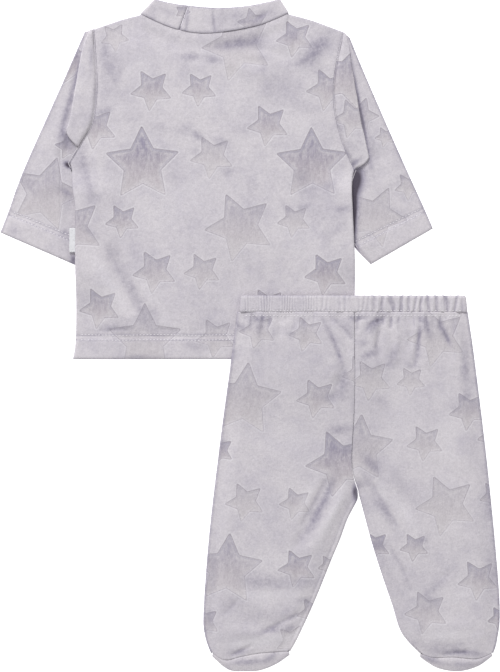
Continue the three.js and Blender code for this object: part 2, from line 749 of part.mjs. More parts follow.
// A foot piece: from the seam on the upper side, round the end of the foot, to the seam
// on the lower side.
function sole(side) {
  const seam = seamEdge(side.foot, FOOT_STEPS);
  const under = (s) => seam(0).lerp(seam(1), s);
  const end = edge(side.footEnd);
  const shares = steps(FOOT_STEPS);
  shares[0] = 0.015;
  shares[FOOT_STEPS] = 0.985;
  const rows = shares.map((s) => {
    const to = end(s);
    const place = (from, w) => from.clone().lerp(to, w);
    const span = Math.min(to.distanceTo(seam(s)), to.distanceTo(under(s)));
    const fold = Math.min(FOLD_RADIUS, (span - SEAM_GAP) * 0.45) / span;
    const gap = (SEAM_GAP + 0.05) / span;
    const bulge = 0.7 * Math.sin(Math.PI * s);
    const ring = [0, 0.5, 1].map((k) => {
      const p = place(seam(s), mix(gap, 1 - fold, k));
      return point(p.x, p.y, UPPER + bulge * Math.sin(Math.PI * k));
    });
    for (const a of [0.25, 0.5, 0.75]) {
      const p = place(seam(s).lerp(under(s), a), 1 - fold + fold * Math.sin(a * Math.PI));
      ring.push(point(p.x, p.y, CLOTH / 2 + FOLD_RADIUS * (1 + Math.cos(a * Math.PI))));
    }
    for (const k of [1, 0.5, 0]) {
      const p = place(under(s), mix(gap, 1 - fold, k));
      ring.push(point(p.x, p.y, CLOTH / 2));
    }
    return ring;
  });
  return clothWall(rows, CLOTH / 2, { squareSides: true });
}

// Colours and finishes.
const velour = new THREE.MeshStandardMaterial({ color: 0xcac6ce, roughness: 0.9, metalness: 0 });
const tape = new THREE.MeshStandardMaterial({ color: 0xf2f2f4, roughness: 0.7, metalness: 0 });

function named(name, geometry, material) {
  const mesh = new THREE.Mesh(geometry, material);
  mesh.name = name;
  return mesh;
}

const top = new THREE.Group();
top.position.set(TOP_PLACE[0], TOP_PLACE[1], 0);
top.add(
  named("top_back", topBack(), velour),
  named("top_front", topFront(), velour),
  named("sleeve_left", sleeve(LEFT_SLEEVE), velour),
  named("sleeve_right", sleeve(RIGHT_SLEEVE), velour),
  named("collar", collar(), velour),
  named("side_label", sideLabel(), tape),
);

const trousers = new THREE.Group();
trousers.position.set(TROUSER_PLACE[0], TROUSER_PLACE[1], 0);
trousers.add(
  named("waistband", waistband(), velour),
  named("leg_left", leg(LEFT_LEG), velour),
  named("leg_right", leg(RIGHT_LEG), velour),
  named("sole_left", sole(LEFT_LEG), velour),
  named("sole_right", sole(RIGHT_LEG), velour),
);

const sleepsuit = new THREE.Group();
sleepsuit.add(top, trousers);

export default sleepsuit;
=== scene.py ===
# %% [markdown]
# # A footed baby sleepsuit in two pieces, laid flat
#
# The set is a long-sleeved top with a stand collar, seen from its back, and footed
# trousers whose waist lies over the lower corner of the top. Both are cut from a soft
# velour with stars pressed into its pile.
#
# Cloth that lies on a table has two layers with a fold between them, and that is how each
# piece is built here: a closed wall of cloth, one layer of velour thick, that runs over
# the upper layer, round the fold and back underneath. Lengths are in millimetres until a
# mesh is made, because that is how a pattern cutter thinks.

import math
from types import SimpleNamespace

import bpy
import numpy as np
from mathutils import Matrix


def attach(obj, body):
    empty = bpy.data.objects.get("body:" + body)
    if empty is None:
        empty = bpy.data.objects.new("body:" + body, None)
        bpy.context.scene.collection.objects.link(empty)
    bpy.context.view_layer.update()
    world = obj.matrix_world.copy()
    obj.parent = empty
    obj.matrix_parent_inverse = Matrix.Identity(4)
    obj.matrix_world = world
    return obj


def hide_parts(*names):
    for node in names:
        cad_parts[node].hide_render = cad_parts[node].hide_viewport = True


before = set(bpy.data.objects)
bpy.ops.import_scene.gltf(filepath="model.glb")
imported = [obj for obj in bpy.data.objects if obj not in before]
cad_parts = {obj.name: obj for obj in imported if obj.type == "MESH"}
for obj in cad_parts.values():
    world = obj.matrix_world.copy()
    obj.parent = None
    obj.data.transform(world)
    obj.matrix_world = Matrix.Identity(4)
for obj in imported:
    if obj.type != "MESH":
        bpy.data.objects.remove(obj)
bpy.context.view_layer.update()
print("solids in the frame:", ", ".join(sorted(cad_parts)))

# %% [markdown]
# ## The camera
#
# The camera comes first, because every later choice is judged through it. The set was
# photographed from straight above, so the camera looks straight down. A long lens keeps
# the view close to a flat pattern: 85 mm on a 36 mm sensor, whose long side takes in
# 605 mm of table from 1.43 m up.

# %% Camera
scene = bpy.context.scene
camera = bpy.data.objects.new("camera", bpy.data.cameras.new("camera"))
camera.data.lens = 85
camera.data.sensor_width = 36
camera.location = (-0.00045, 0, 1.4325)
scene.collection.objects.link(camera)
scene.camera = camera
scene.view_settings.view_transform = "Standard"
print(f"camera {camera.location.z:.3f} m above the table")

# %% [markdown]
# ## Sizes of the cut
#
# A velour of this weight is about 1.4 mm thick with its pile. Two layers that lie on each
# other keep a little air beside their fold, so the fold is a half round of a set radius.

# %% Sizes
CLOTH = 1.4
BAND = 2.2
SEAM_GAP = 0.3
FOLD_RADIUS = 1.1
TURNED_EDGE = 1.2
UPPER = CLOTH / 2 + 2 * FOLD_RADIUS
BODY_PUFF, SLEEVE_PUFF, LEG_PUFF = 2.2, 1.7, 2.4
HEM_DEPTH, HEM_DROP, HEM_EXTRA = 18, 1.6, 0.8
HEM_ROWS = (15.7, 20.2)
BODY_LONG, SLEEVE_LONG, LEG_LONG, ARMHOLE_LONG = 300, 196, 330, 127
SLEEVE_LIFT = 4.8
TOP_PRESSED = 5.1
TUCK_HEIGHT = 2.3
WAIST_DEPTH = 13.5
TOP_PLACE = np.array([-31.95, -19.35])
TROUSER_PLACE = np.array([92.7, 35.55])


def table(header, rows):
    """The columns of a small table, each by its own name."""
    columns = np.array(rows, float).T
    return SimpleNamespace(**dict(zip(header.split(), columns)))


def smooth(x, low, high):
    """0 up to low, 1 from high on, and a soft slope between them."""
    t = np.clip((x - low) / (high - low), 0, 1)
    return t * t * (3 - 2 * t)


def mix(a, b, t):
    return a * (1 - t) + b * t


def bell(x, width):
    """1 in the middle, fading to both sides."""
    return np.exp(-((x / width) ** 2))


# %% [markdown]
# ## The outline of each cut piece
#
# A paper pattern is a few measured points with a smooth curve through them. The tables
# below are those points, across from the middle of each garment and up from the hem of
# the top, or down from the waist of the trousers.

# %% Outline of the top
LEFT_SIDE = table("across up", [
    (-128.4, -1.6), (-126, 13.5), (-125.2, 50.9), (-125.8, 85.2), (-125.6, 130.7), (-128, 150.9),
    (-130.3, 175.1),
])
LEFT_ARMHOLE = table("across up", [
    (-130.3, 175.1), (-118.8, 194.3), (-111, 207.4), (-107.2, 223.6), (-105.8, 250.9),
    (-108.9, 296.1),
])
RIGHT_SIDE = table("across up", [
    (126.9, -1.6), (125.6, 13.5), (126, 50.9), (125.9, 85.2), (124, 131.7), (123.3, 151.9),
    (125.1, 169.1),
])
RIGHT_ARMHOLE = table("across up", [
    (125.1, 169.1), (115.5, 190.3), (110.3, 207.4), (106.7, 227.6), (107.3, 254.9),
    (114.8, 293.8),
])
LEFT_SHOULDER = table("across up", [(-108.9, 296.1), (-83, 304.8), (-66.8, 308.9)])
RIGHT_SHOULDER = table("across up", [(65.9, 309.7), (87.9, 303.7), (114.8, 293.8)])
BACK_NECK = table("across up", [
    (-66.8, 308.9), (-37.4, 296.2), (-6.3, 291.7), (36.9, 298.3), (65.9, 309.7),
])
FRONT_NECK = table("across up", [
    (-66.8, 308.9), (-46, 282.2), (-0.5, 264), (45, 282.2), (65.9, 309.7),
])
BACK_COLLAR_TOP = table("across up", [
    (-54, 322.4), (-32.6, 317.9), (0, 314.9), (29, 316.5), (57.8, 322.4),
])
FRONT_COLLAR_TOP = table("across up", [
    (-54, 322.4), (-36, 301.3), (0, 287.2), (37, 301.3), (57.8, 322.4),
])
COLLAR_SEAM = 0.27
UNDERARM = 0.59
NECK_START, NECK_END = 0.19, 0.78

# %% Outline of the sleeves
LEFT_SLEEVE_OUTER = table("across up", [
    (-117, 293), (-122.2, 281), (-138.2, 244.4), (-171.9, 168.8), (-185.4, 132),
    (-193, 112.4),
])
LEFT_SLEEVE_INNER = table("across up", [
    (-130.9, 175), (-127.6, 167), (-125.6, 157), (-124, 148), (-122.4, 138),
    (-121.8, 112), (-122.6, 81.8),
])
RIGHT_SLEEVE_OUTER = table("across up", [
    (120.9, 288), (132.7, 259), (162.5, 190.4), (187.7, 134.6), (195.9, 116),
])
RIGHT_SLEEVE_INNER = table("across up", [
    (125.7, 169), (122.6, 161), (120.8, 152), (119.8, 144), (118.4, 132),
    (118.4, 113), (126.6, 98.6), (140.5, 84),
])

# %% Outline of the trousers
LEG_TOP = WAIST_DEPTH + SEAM_GAP
CROTCH = 175
CROTCH_SHARE = 0.52
CENTRE_SEAM = table("across down", [(0.5, LEG_TOP), (0.6, 96), (-1.4, 150), (4.2, CROTCH)])
LEFT_LEG_INNER = table("across down", [
    (4.2, CROTCH), (4, 180), (3, 184.5), (-5.4, 201), (-12, 219), (-19.6, 237), (-34.9, 274.7),
    (-49.8, 307), (-56.9, 319.7),
])
LEFT_LEG_OUTER = table("across down", [
    (-104, LEG_TOP), (-110.4, 64), (-118.9, 126.5), (-129.2, 213.5), (-134.4, 284),
    (-133, 306), (-127.8, 321),
])
RIGHT_LEG_INNER = table("across down", [
    (4.2, CROTCH), (15.6, 218), (24.9, 248), (35, 277.6), (43.5, 303), (59.6, 321.4),
])
RIGHT_LEG_OUTER = table("across down", [
    (102.4, LEG_TOP), (108.5, 56), (119.7, 148), (128.3, 235), (131.4, 285),
    (128.8, 310), (125.6, 321),
])
LEFT_FOOT_SEAM = table("across down", [
    (-127.8, 321), (-115.7, 327.4), (-101.3, 324.4), (-80.8, 320.9), (-56.9, 319.7),
])
RIGHT_FOOT_SEAM = table("across down", [
    (59.6, 321.4), (71.6, 325.2), (89.5, 324.9), (111, 326.4), (125.6, 321),
])
LEFT_FOOT_END = table("across down", [
    (-127.8, 323), (-112.4, 335.7), (-97, 337.1), (-83.7, 336.2), (-69.1, 330.3),
    (-56.9, 321.7),
])
RIGHT_FOOT_END = table("across down", [
    (59.6, 323.4), (67.1, 329.2), (78.3, 335), (95, 337.1), (111.9, 332.7),
    (125.6, 323),
])

# %% [markdown]
# ## From points to edges, and from edges to cloth
#
# `edge` draws a smooth curve through a table's points and reads it by its share of
# length, so 0.5 is always halfway along the seam. `cut_piece` fills the area between four
# such edges: it slides the two cross edges towards each other and bends them to follow
# the two sides, which is how a knitted panel lies between its seams.

# %% Edges and cut pieces
def edge(rows):
    points = np.column_stack([rows.across, rows.up if hasattr(rows, "up") else -rows.down])
    t = np.linspace(0, 1, 60, endpoint=False)[:, None]
    spans = []
    for i in range(len(points) - 1):
        before, start = points[max(i - 1, 0)], points[i]
        stop, after = points[i + 1], points[min(i + 2, len(points) - 1)]
        leave, arrive = (stop - before) / 2, (after - start) / 2
        spans.append(
            (2 * start - 2 * stop + leave + arrive) * t**3
            + (-3 * start + 3 * stop - 2 * leave - arrive) * t**2
            + leave * t + start
        )
    line = np.vstack([*spans, points[-1:]])
    run = np.concatenate([[0], np.cumsum(np.hypot(*np.diff(line, axis=0).T))])
    share = run / run[-1]

    def read(s):
        s = np.asarray(s, float)
        return np.stack([np.interp(s, share, line[:, k]) for k in (0, 1)], axis=-1)

    return read


def chain(parts, stops):
    """Edges joined end to end; each takes the share of the whole up to its stop."""
    starts = [0, *stops[:-1]]

    def read(s):
        s = np.clip(np.asarray(s, float), 0, 1)
        found = np.zeros(s.shape + (2,))
        for part, start, stop in zip(parts, starts, stops):
            here = (s >= start) & (s <= stop)
            found[here] = part((s[here] - start) / (stop - start))
        return found

    return read


def cut_piece(low, high, left, right):
    """The area between four edges: low and high run across, left and right run along."""
    corners = [(low, 0, 0), (low, 1, 0), (high, 0, 1), (high, 1, 1)]

    def plan(u, v):
        U, V = u[..., None], v[..., None]
        p = low(u) * (1 - V) + high(u) * V + left(v) * (1 - U) + right(v) * U
        for side, a, b in corners:
            p = p - side(a) * (U if a else 1 - U) * (V if b else 1 - V)
        return p

    return plan


left_edge = chain([edge(LEFT_SIDE), edge(LEFT_ARMHOLE)], [UNDERARM, 1])
right_edge = chain([edge(RIGHT_SIDE), edge(RIGHT_ARMHOLE)], [UNDERARM, 1])
print(f"half chest {right_edge(0.5)[0] - left_edge(0.5)[0]:.0f} mm")

# %% [markdown]
# ## Creases
#
# A crease is a soft ridge or trough that fades out at both of its ends. Each has its own
# length, width and height, because creases that match each other look printed on. Where
# cloth is gathered, short ones start at the gathered edge and run out at uneven lengths.

# %% Creases
def crease_height(rows, x, y):
    total = np.zeros_like(x)
    for x1, y1, x2, y2, width, height in zip(*vars(rows).values()):
        dx, dy = x2 - x1, y2 - y1
        long = math.hypot(dx, dy)
        along = ((x - x1) * dx + (y - y1) * dy) / long
        aside = ((x - x1) * dy - (y - y1) * dx) / long
        soft = min(width, long * 0.45)
        ends = smooth(along, -soft, soft) * (1 - smooth(along, long - soft, long + soft))
        total += height * ends * np.exp(-2 * (aside / width) ** 2)
    return total


TOP_CREASES = table("x1 y1 x2 y2 width height", [
    (-98, 96, -50, 16, 11, -1.1),
    (-112, 84, -74, 24, 12, 0.8),
    (-44, 92, -20, 26, 13, 0.6),
    (-22, 272, 40, 264, 8, -0.6),
    (-30, 283, 50, 252, 9, 0.9),
    (10, 288, 66, 270, 7, -0.9),
    (-96, 214, -104, 100, 9, -0.6),
    (96, 190, 108, 60, 9, -0.6),
    (60, 252, 84, 212, 14, -0.7),
    (-114, 146, -114, 70, 8, -0.35),
    (-72, 296, -96, 262, 7, -0.35),
    (76, 292, 96, 250, 9, -0.35),
    (-9, 279, 2, 285, 5, -0.5),
    (24, 281, 42, 276, 5, -0.45),
    (-60, 150, -20, 128, 14, 0.35),
    (30, 160, 60, 96, 16, 0.35),
    (-30, 220, 20, 230, 16, 0.3),
])
HEM_CREASES = table("x1 y1 x2 y2 width height", [
    (-104, 25, -92, 23, 2.6, -0.5),
    (-92, 26, -76, 24, 3.2, -0.65),
    (-69, 24, -60, 22, 2.4, -0.35),
    (-51, 25, -31, 24, 3, -0.6),
    (-22, 23, -12, 24, 2.4, -0.3),
    (-2, 25, 14, 24, 3, -0.35),
    (22, 24, 40, 22, 2.6, -0.35),
    (-118, 17.5, 120, 18.5, 1.6, -0.45),
])
SLEEVE_CREASES = table("x1 y1 x2 y2 width height", [
    (-125, 252, -132, 206, 6, -0.8),
    (-131, 202, -134, 186, 4, -0.9),
    (-150, 190, -136, 176, 7, -0.5),
    (-160, 150, -136, 158, 9, 0.5),
    (-176, 128, -132, 120, 8, -0.35),
    (-146, 212, -158, 176, 8, 0.4),
    (128, 250, 134, 200, 6, -0.6),
    (125, 182, 136, 160, 5, -0.9),
    (138, 178, 160, 186, 8, -0.4),
    (140, 150, 172, 166, 9, 0.45),
    (132, 132, 150, 120, 7, -0.4),
    (150, 206, 166, 168, 8, 0.4),
])
TROUSER_CREASES = table("x1 y1 x2 y2 width height", [
    (-84, -16, -88, -46, 4.5, 0.9),
    (-66, -16, -66, -36, 4, -0.8),
    (-50, -16, -46, -40, 4.5, 0.8),
    (-32, -16, -16, -74, 6, 1.1),
    (-14, -16, -4, -52, 5, -0.9),
    (12, -18, 20, -66, 5.5, 1),
    (26, -16, 22, -54, 5, -1),
    (40, -16, 38, -58, 4.5, 1),
    (52, -16, 50, -46, 4.5, -0.9),
    (64, -16, 66, -62, 5, 0.9),
    (80, -16, 88, -56, 5.5, -0.9),
    (92, -16, 97, -44, 4.5, 0.8),
    (-6, -60, -22, -96, 8, -0.9),
    (-4, -168, -42, -232, 9, 1.8),
    (-22, -168, -52, -226, 7, -1.2),
    (20, -140, 48, -196, 9, -0.9),
    (34, -150, 62, -230, 9, 0.9),
    (-118, -262, -70, -288, 12, 0.9),
    (-112, -300, -66, -306, 9, 1),
    (60, -298, 108, -296, 10, 1),
])
FINE_TROUSER_CREASES = table("x1 y1 x2 y2 width height", [
    (-28, -20, -20, -34, 2.6, -0.7),
    (-20, -34, -12, -57, 3, -0.7),
    (-21, -17, -1, -39, 2.6, -0.6),
    (-0.5, -23, 10.4, -19, 1.6, -0.6),
    (11, -31, 16, -23, 2, -0.6),
    (16, -23, 26.6, -20, 2, -0.5),
    (23, -30, 19.4, -48, 2.6, -0.7),
    (33.8, -19, 33.8, -28, 1.8, -0.7),
    (40, -20, 40, -32, 2, -0.6),
    (60, -27, 55.4, -62, 3.4, -1),
    (65.3, -18, 68, -32, 2.2, -0.6),
    (78, -21, 86, -42, 3, -0.7),
    (36, -50, 40, -54, 3.5, -0.5),
    (-24, -163, -37, -188, 4, -0.7),
    (-37, -188, -48, -207, 4, -0.6),
    (17.6, -169, 31, -194, 4, -0.7),
    (31, -194, 42, -209, 4, -0.5),
    (33, -226, 46, -249, 3, -0.7),
    (46, -249, 52, -266, 3, -0.6),
    (-103, -272, -119, -288, 3.4, -0.4),
    (-48, -285, -82, -302, 4, -0.8),
    (-110, -323, -91, -314, 2.6, -0.8),
    (79, -323, 103, -319, 2.6, -0.6),
    (78, -252, 88, -250, 5, -0.4),
    (-96, -60, -60, -84, 9, -0.35),
    (-100, -128, -64, -150, 10, 0.4),
    (70, -150, 104, -166, 9, -0.35),
    (86, -210, 116, -226, 9, 0.35),
])

# %% [markdown]
# ## Stars in the pile
#
# The stars are pressed or woven into the velour as shorter pile: inside a star the cloth
# is about half a millimetre thinner and looks a little more mauve. Painted shade darkens
# each star towards its upper edge, and a painted highlight runs as a thin pale line round
# its outside. Five-pointed stars are a traditional motif, and one formula draws them all:
# fold the angle round the centre into a tenth of a turn, and measure the distance to the
# straight edge between a tip and a notch. The charts only say where each star lies, its
# size, its turn, and how strongly it shows.

# %% Star charts
TOP_STARS = table("x y size turn tone", [
    (-57.1, 240.9, 19.3, -30, 0.7),
    (-14, 241.4, 16.2, -31, 0.7),
    (-65.3, 173.8, 34.3, -1, 0.8),
    (-2.5, 180.6, 20.2, -28, 0.3),
    (-107.7, 206.7, 19.8, -29, 0.7),
    (-90.5, 288.3, 13.5, 30, 0.25),
    (20.4, 280.4, 32.7, -21, 0.3),
    (72, 287.1, 17.6, -26, 0.7),
    (101.4, 241.2, 19.8, -24, 0.65),
    (47.9, 209.1, 19.4, -27, 0.7),
    (87.2, 173.8, 33.4, -1, 0.8),
    (-83.3, 123, 15.8, -30, 0.75),
    (-130, 116, 30.6, -24, 0.6),
    (22.3, 117.6, 31.9, -23, 0.45),
    (71, 123.2, 15.6, -28, 0.35),
    (-54.2, 77.4, 20.3, -28, 0.6),
    (-11.3, 77.7, 17.1, -26, 0.45),
    (99.8, 75.3, 19.7, -27, 0.8),
    (-103.4, 44.7, 19.2, -26, 0.7),
    (-63, 15, 34, 0, 0.3),
    (0.5, 18, 18.6, -28, 0.35),
    (47, 45.5, 18, -28, 0.55),
    (95, 14, 33, -1, 0.6),
])
LEFT_SLEEVE_STARS = table("x y size turn tone", [
    (-126.9, 266, 22, -8, 0.9),
    (-132, 190, 12, -10, 0.9),
    (-152, 147.3, 34, 17, 0.45),
])
RIGHT_SLEEVE_STARS = table("x y size turn tone", [
    (131, 217.4, 17.1, 18, 0.5),
    (153, 198.5, 9.5, -26, 0.45),
    (174, 154, 13, -35, 0.4),
    (144.9, 126.9, 28, 24, 0.3),
])
RIGHT_FLAP_STARS = table("x y size turn tone", [
    (118.8, 251.6, 29.7, 18, 0.7),
    (123.3, 214.7, 18, -20, 0.5),
])
LEFT_LEG_STARS = table("x y size turn tone", [
    (-86, -30.5, 17, -22, 0.45),
    (-42.4, -33.7, 16.4, -21, 0.4),
    (-98, -92.7, 33.8, 6, 0.4),
    (-33.4, -91.3, 18.5, -25, 0.55),
    (-12.5, -149.8, 31, -23, 0.8),
    (6.8, -69.8, 18, -25, 0.3),
    (-121, -138.6, 14, -19, 0.8),
    (-97.4, -184.8, 18.2, -24, 0.3),
    (-52.2, -186, 15.1, -22, 0.45),
    (-113.5, -245.4, 32.8, 4, 0.55),
    (-50.8, -244.2, 17.8, -24, 0.75),
    (-22, -242.6, 10.8, -30, 0.4),
    (-37, -284.5, 14.6, -30, 0.5),
    (-135, -293, 15.3, -22, 0.65),
    (-55, -310, 15.6, 27, 0.15),
])
RIGHT_LEG_STARS = table("x y size turn tone", [
    (5.5, -136.8, 31.2, 3, 0.4),
    (15, -74.7, 19.4, -30, 0.25),
    (51.8, -75.8, 13.5, -32, 0.25),
    (75.2, -36.5, 27.4, -23, 0.25),
    (103.4, -102.8, 18.2, -29, 0.6),
    (64.3, -131.6, 17, -29, 0.4),
    (83.5, -187.9, 28.4, -24, 0.25),
    (126.7, -179.6, 14, -34, 0.65),
    (18.6, -224.8, 15, -28, 0.9),
    (54.5, -225.3, 13.5, -29, 0.6),
    (112, -254.7, 19, -31, 0.6),
    (65.7, -283.8, 20.1, -24, 0.45),
    (132, -290, 12, -30, 0.9),
    (123.8, -126.5, 13, -29, 0.55),
])
NO_STARS = table("x y size turn tone", [(0, 999, 1, 0, 0)])


def star_field(stars, x, y):
    """Distance to the nearest star's outline, negative inside it, that star's tone, and how
    far up it a point lies, from 0 to 1."""
    nearest = np.full(x.shape, 60.0)
    tone, brow = np.zeros_like(x), np.zeros_like(x)
    fifth = 2 * math.pi / 5
    for sx, sy, size, turn, strength in zip(*vars(stars).values()):
        dx, dy = x - sx, y - sy
        away = np.hypot(dx, dy)
        angle = np.arctan2(dx, dy) - math.radians(turn)
        angle = np.abs((angle + fifth / 2) % fifth - fifth / 2)
        px, py = away * np.cos(angle), away * np.sin(angle)
        tip = size - 0.8
        ex, ey = 0.5 * tip * math.cos(fifth / 2) - tip, 0.5 * tip * math.sin(fifth / 2)
        long = math.hypot(ex, ey)
        t = np.clip(((px - tip) * ex + py * ey) / long**2, 0, 1)
        off = np.hypot(px - tip - t * ex, py - t * ey)
        outside = (px - tip) * ey - py * ex > 0
        distance = np.where(outside, off, -off) - 0.5
        closer = distance < nearest
        nearest = np.where(closer, distance, nearest)
        tone = np.where(closer, strength, tone)
        brow = np.where(closer, smooth(dy / size, -0.9, 0.8), brow)
    return nearest, tone, brow


def star_relief(distance):
    """The pile is shorter in a star, and stands up a little along its outline."""
    return -0.26 * (1 - smooth(distance, -1, 0.3)) + 0.1 * bell(distance - 0.9, 0.8)


def patches(rows, x, y):
    """Soft ovals, each with its own length, width, tilt and strength."""
    total = np.zeros_like(x)
    for cx, cy, long, wide, tilt, strength in zip(*vars(rows).values()):
        c, s = math.cos(math.radians(tilt)), math.sin(math.radians(tilt))
        along = (x - cx) * c + (y - cy) * s
        aside = (y - cy) * c - (x - cx) * s
        total += strength * np.exp(-((along / long) ** 2) - (aside / wide) ** 2)
    return total


print("stars charted on the back of the top:", len(TOP_STARS.x))

# %% [markdown]
# Velour also shows where it was brushed or pressed: smudges of a bluish, darker pile.
# Charted with them as soft ovals is painted shade in the deepest parts of creases and
# beside folds. A strength above 1 is painted deep shadow in a narrow gap or under
# overlapping cloth, and one below 0 is a painted highlight where raised pile catches the light.

# %% Painted shade, painted highlight and brushed nap
TOP_SHADE_HIGHLIGHT_AND_NAP = table("x y long wide tilt strength", [
    (-22.5, 270.4, 8.1, 3.6, 0, 0.9),
    (-1.8, 267.8, 8.1, 3.6, -8, 0.6),
    (20, 282.5, 21, 5, 6, 1.0),
    (36.9, 285.8, 7.2, 6.3, 0, 0.45),
    (42.3, 269.6, 5.4, 3.6, -45, 0.4),
    (67.5, 289.4, 9, 6.3, 40, 0.5),
    (93, 280, 15, 8, 45, 1.05),
    (81, 267, 10, 5.5, 20, 0.65),
    (92.5, 257, 6, 5, 0, 0.5),
    (43.2, 259, 4.5, 3.6, 0, 0.5),
    (54, 240.8, 18, 13.5, 0, 0.32),
    (76.5, 227.2, 12.6, 7.2, -20, 0.25),
    (-99, 274.9, 4.5, 10, 0, 0.65),
    (-92, 260, 16, 8, 60, 0.5),
    (-88, 240, 12, 9, -30, 0.25),
    (-86.4, 253.3, 9, 2.7, 65, 0.4),
    (-100, 221.5, 9, 3, 18, 0.6),
    (-119, 168, 8, 14, 10, 0.45),
    (-96, 140, 10, 8, 0, 0.2),
    (-49.5, 206.6, 10.8, 4.5, -20, 0.25),
    (-29.7, 204.8, 8.1, 5.4, 0, 0.28),
    (-76.5, 215.6, 9, 5.4, 0, 0.22),
    (-37.8, 161.6, 7.2, 6.3, 0, 0.3),
    (-94.5, 167, 7.2, 5.4, 0, 0.22),
    (-15.3, 199.3, 6.3, 3.1, -35, 0.85),
    (6.3, 193.1, 8.1, 4.5, -20, 0.45),
    (-18, 185.8, 4.5, 4.5, 0, 0.35),
    (11.7, 167, 4.5, 3.6, 0, 0.35),
    (22.5, 204.8, 8.1, 4.5, 0, 0.2),
    (-117.9, 173.2, 14.4, 3.6, -78, 0.4),
    (-111.6, 149, 10.8, 4.5, -85, 0.45),
    (-74.5, 58, 37, 6.5, -60, 0.55),
    (-91.8, 96.8, 8.1, 6.3, -50, 0.3),
    (-90, 25.7, 16.2, 3.1, 0, 0.65),
    (-42.3, 23.9, 11.7, 3.1, -8, 0.45),
    (-76.5, 33.8, 14.4, 4.5, 0, 0.4),
    (-54, 42.8, 8.1, 5.4, -60, 0.4),
    (0, 29.2, 12.6, 3.6, -10, 0.3),
    (-18, 11.2, 12.6, 4.5, -15, 0.35),
    (-67.5, 0.5, 18, 2.2, 0, 0.5),
    (112.5, 133.7, 7.2, 3.1, 0, 0.6),
    (64.8, 134.6, 7.2, 3.6, -40, 0.5),
    (79.2, 134.6, 5.4, 3.6, 0, 0.4),
    (42.3, 131, 7.2, 5.4, 0, 0.25),
    (89.1, 149, 10.8, 4.5, 80, 0.35),
    (105.3, 114.8, 13.5, 7.2, 60, 0.3),
    (-112.5, 113, 9, 3.6, -45, 0.45),
    (33.3, 155.2, 5.4, 7.2, 0, 0.2),
    (78, 161, 8, 9, 0, 0.55),
    (101.5, 154, 7, 6, 0, 0.55),
    (92, 128, 9, 8, 0, 0.3),
    (-66, 76, 6, 4, 0, 0.3),
    (-93, 66, 40, 7, -58, -0.45),
    (-56, 50, 34, 7, -60, -0.3),
    (-40, 128, 30, 14, 0, -0.2),
    (70, 100, 26, 18, 0, -0.15),
    (-20, 150, 24, 14, 0, -0.2),
    (-70, 262, 20, 12, 20, -0.2),
    (10, 228, 24, 14, 0, -0.15),
])
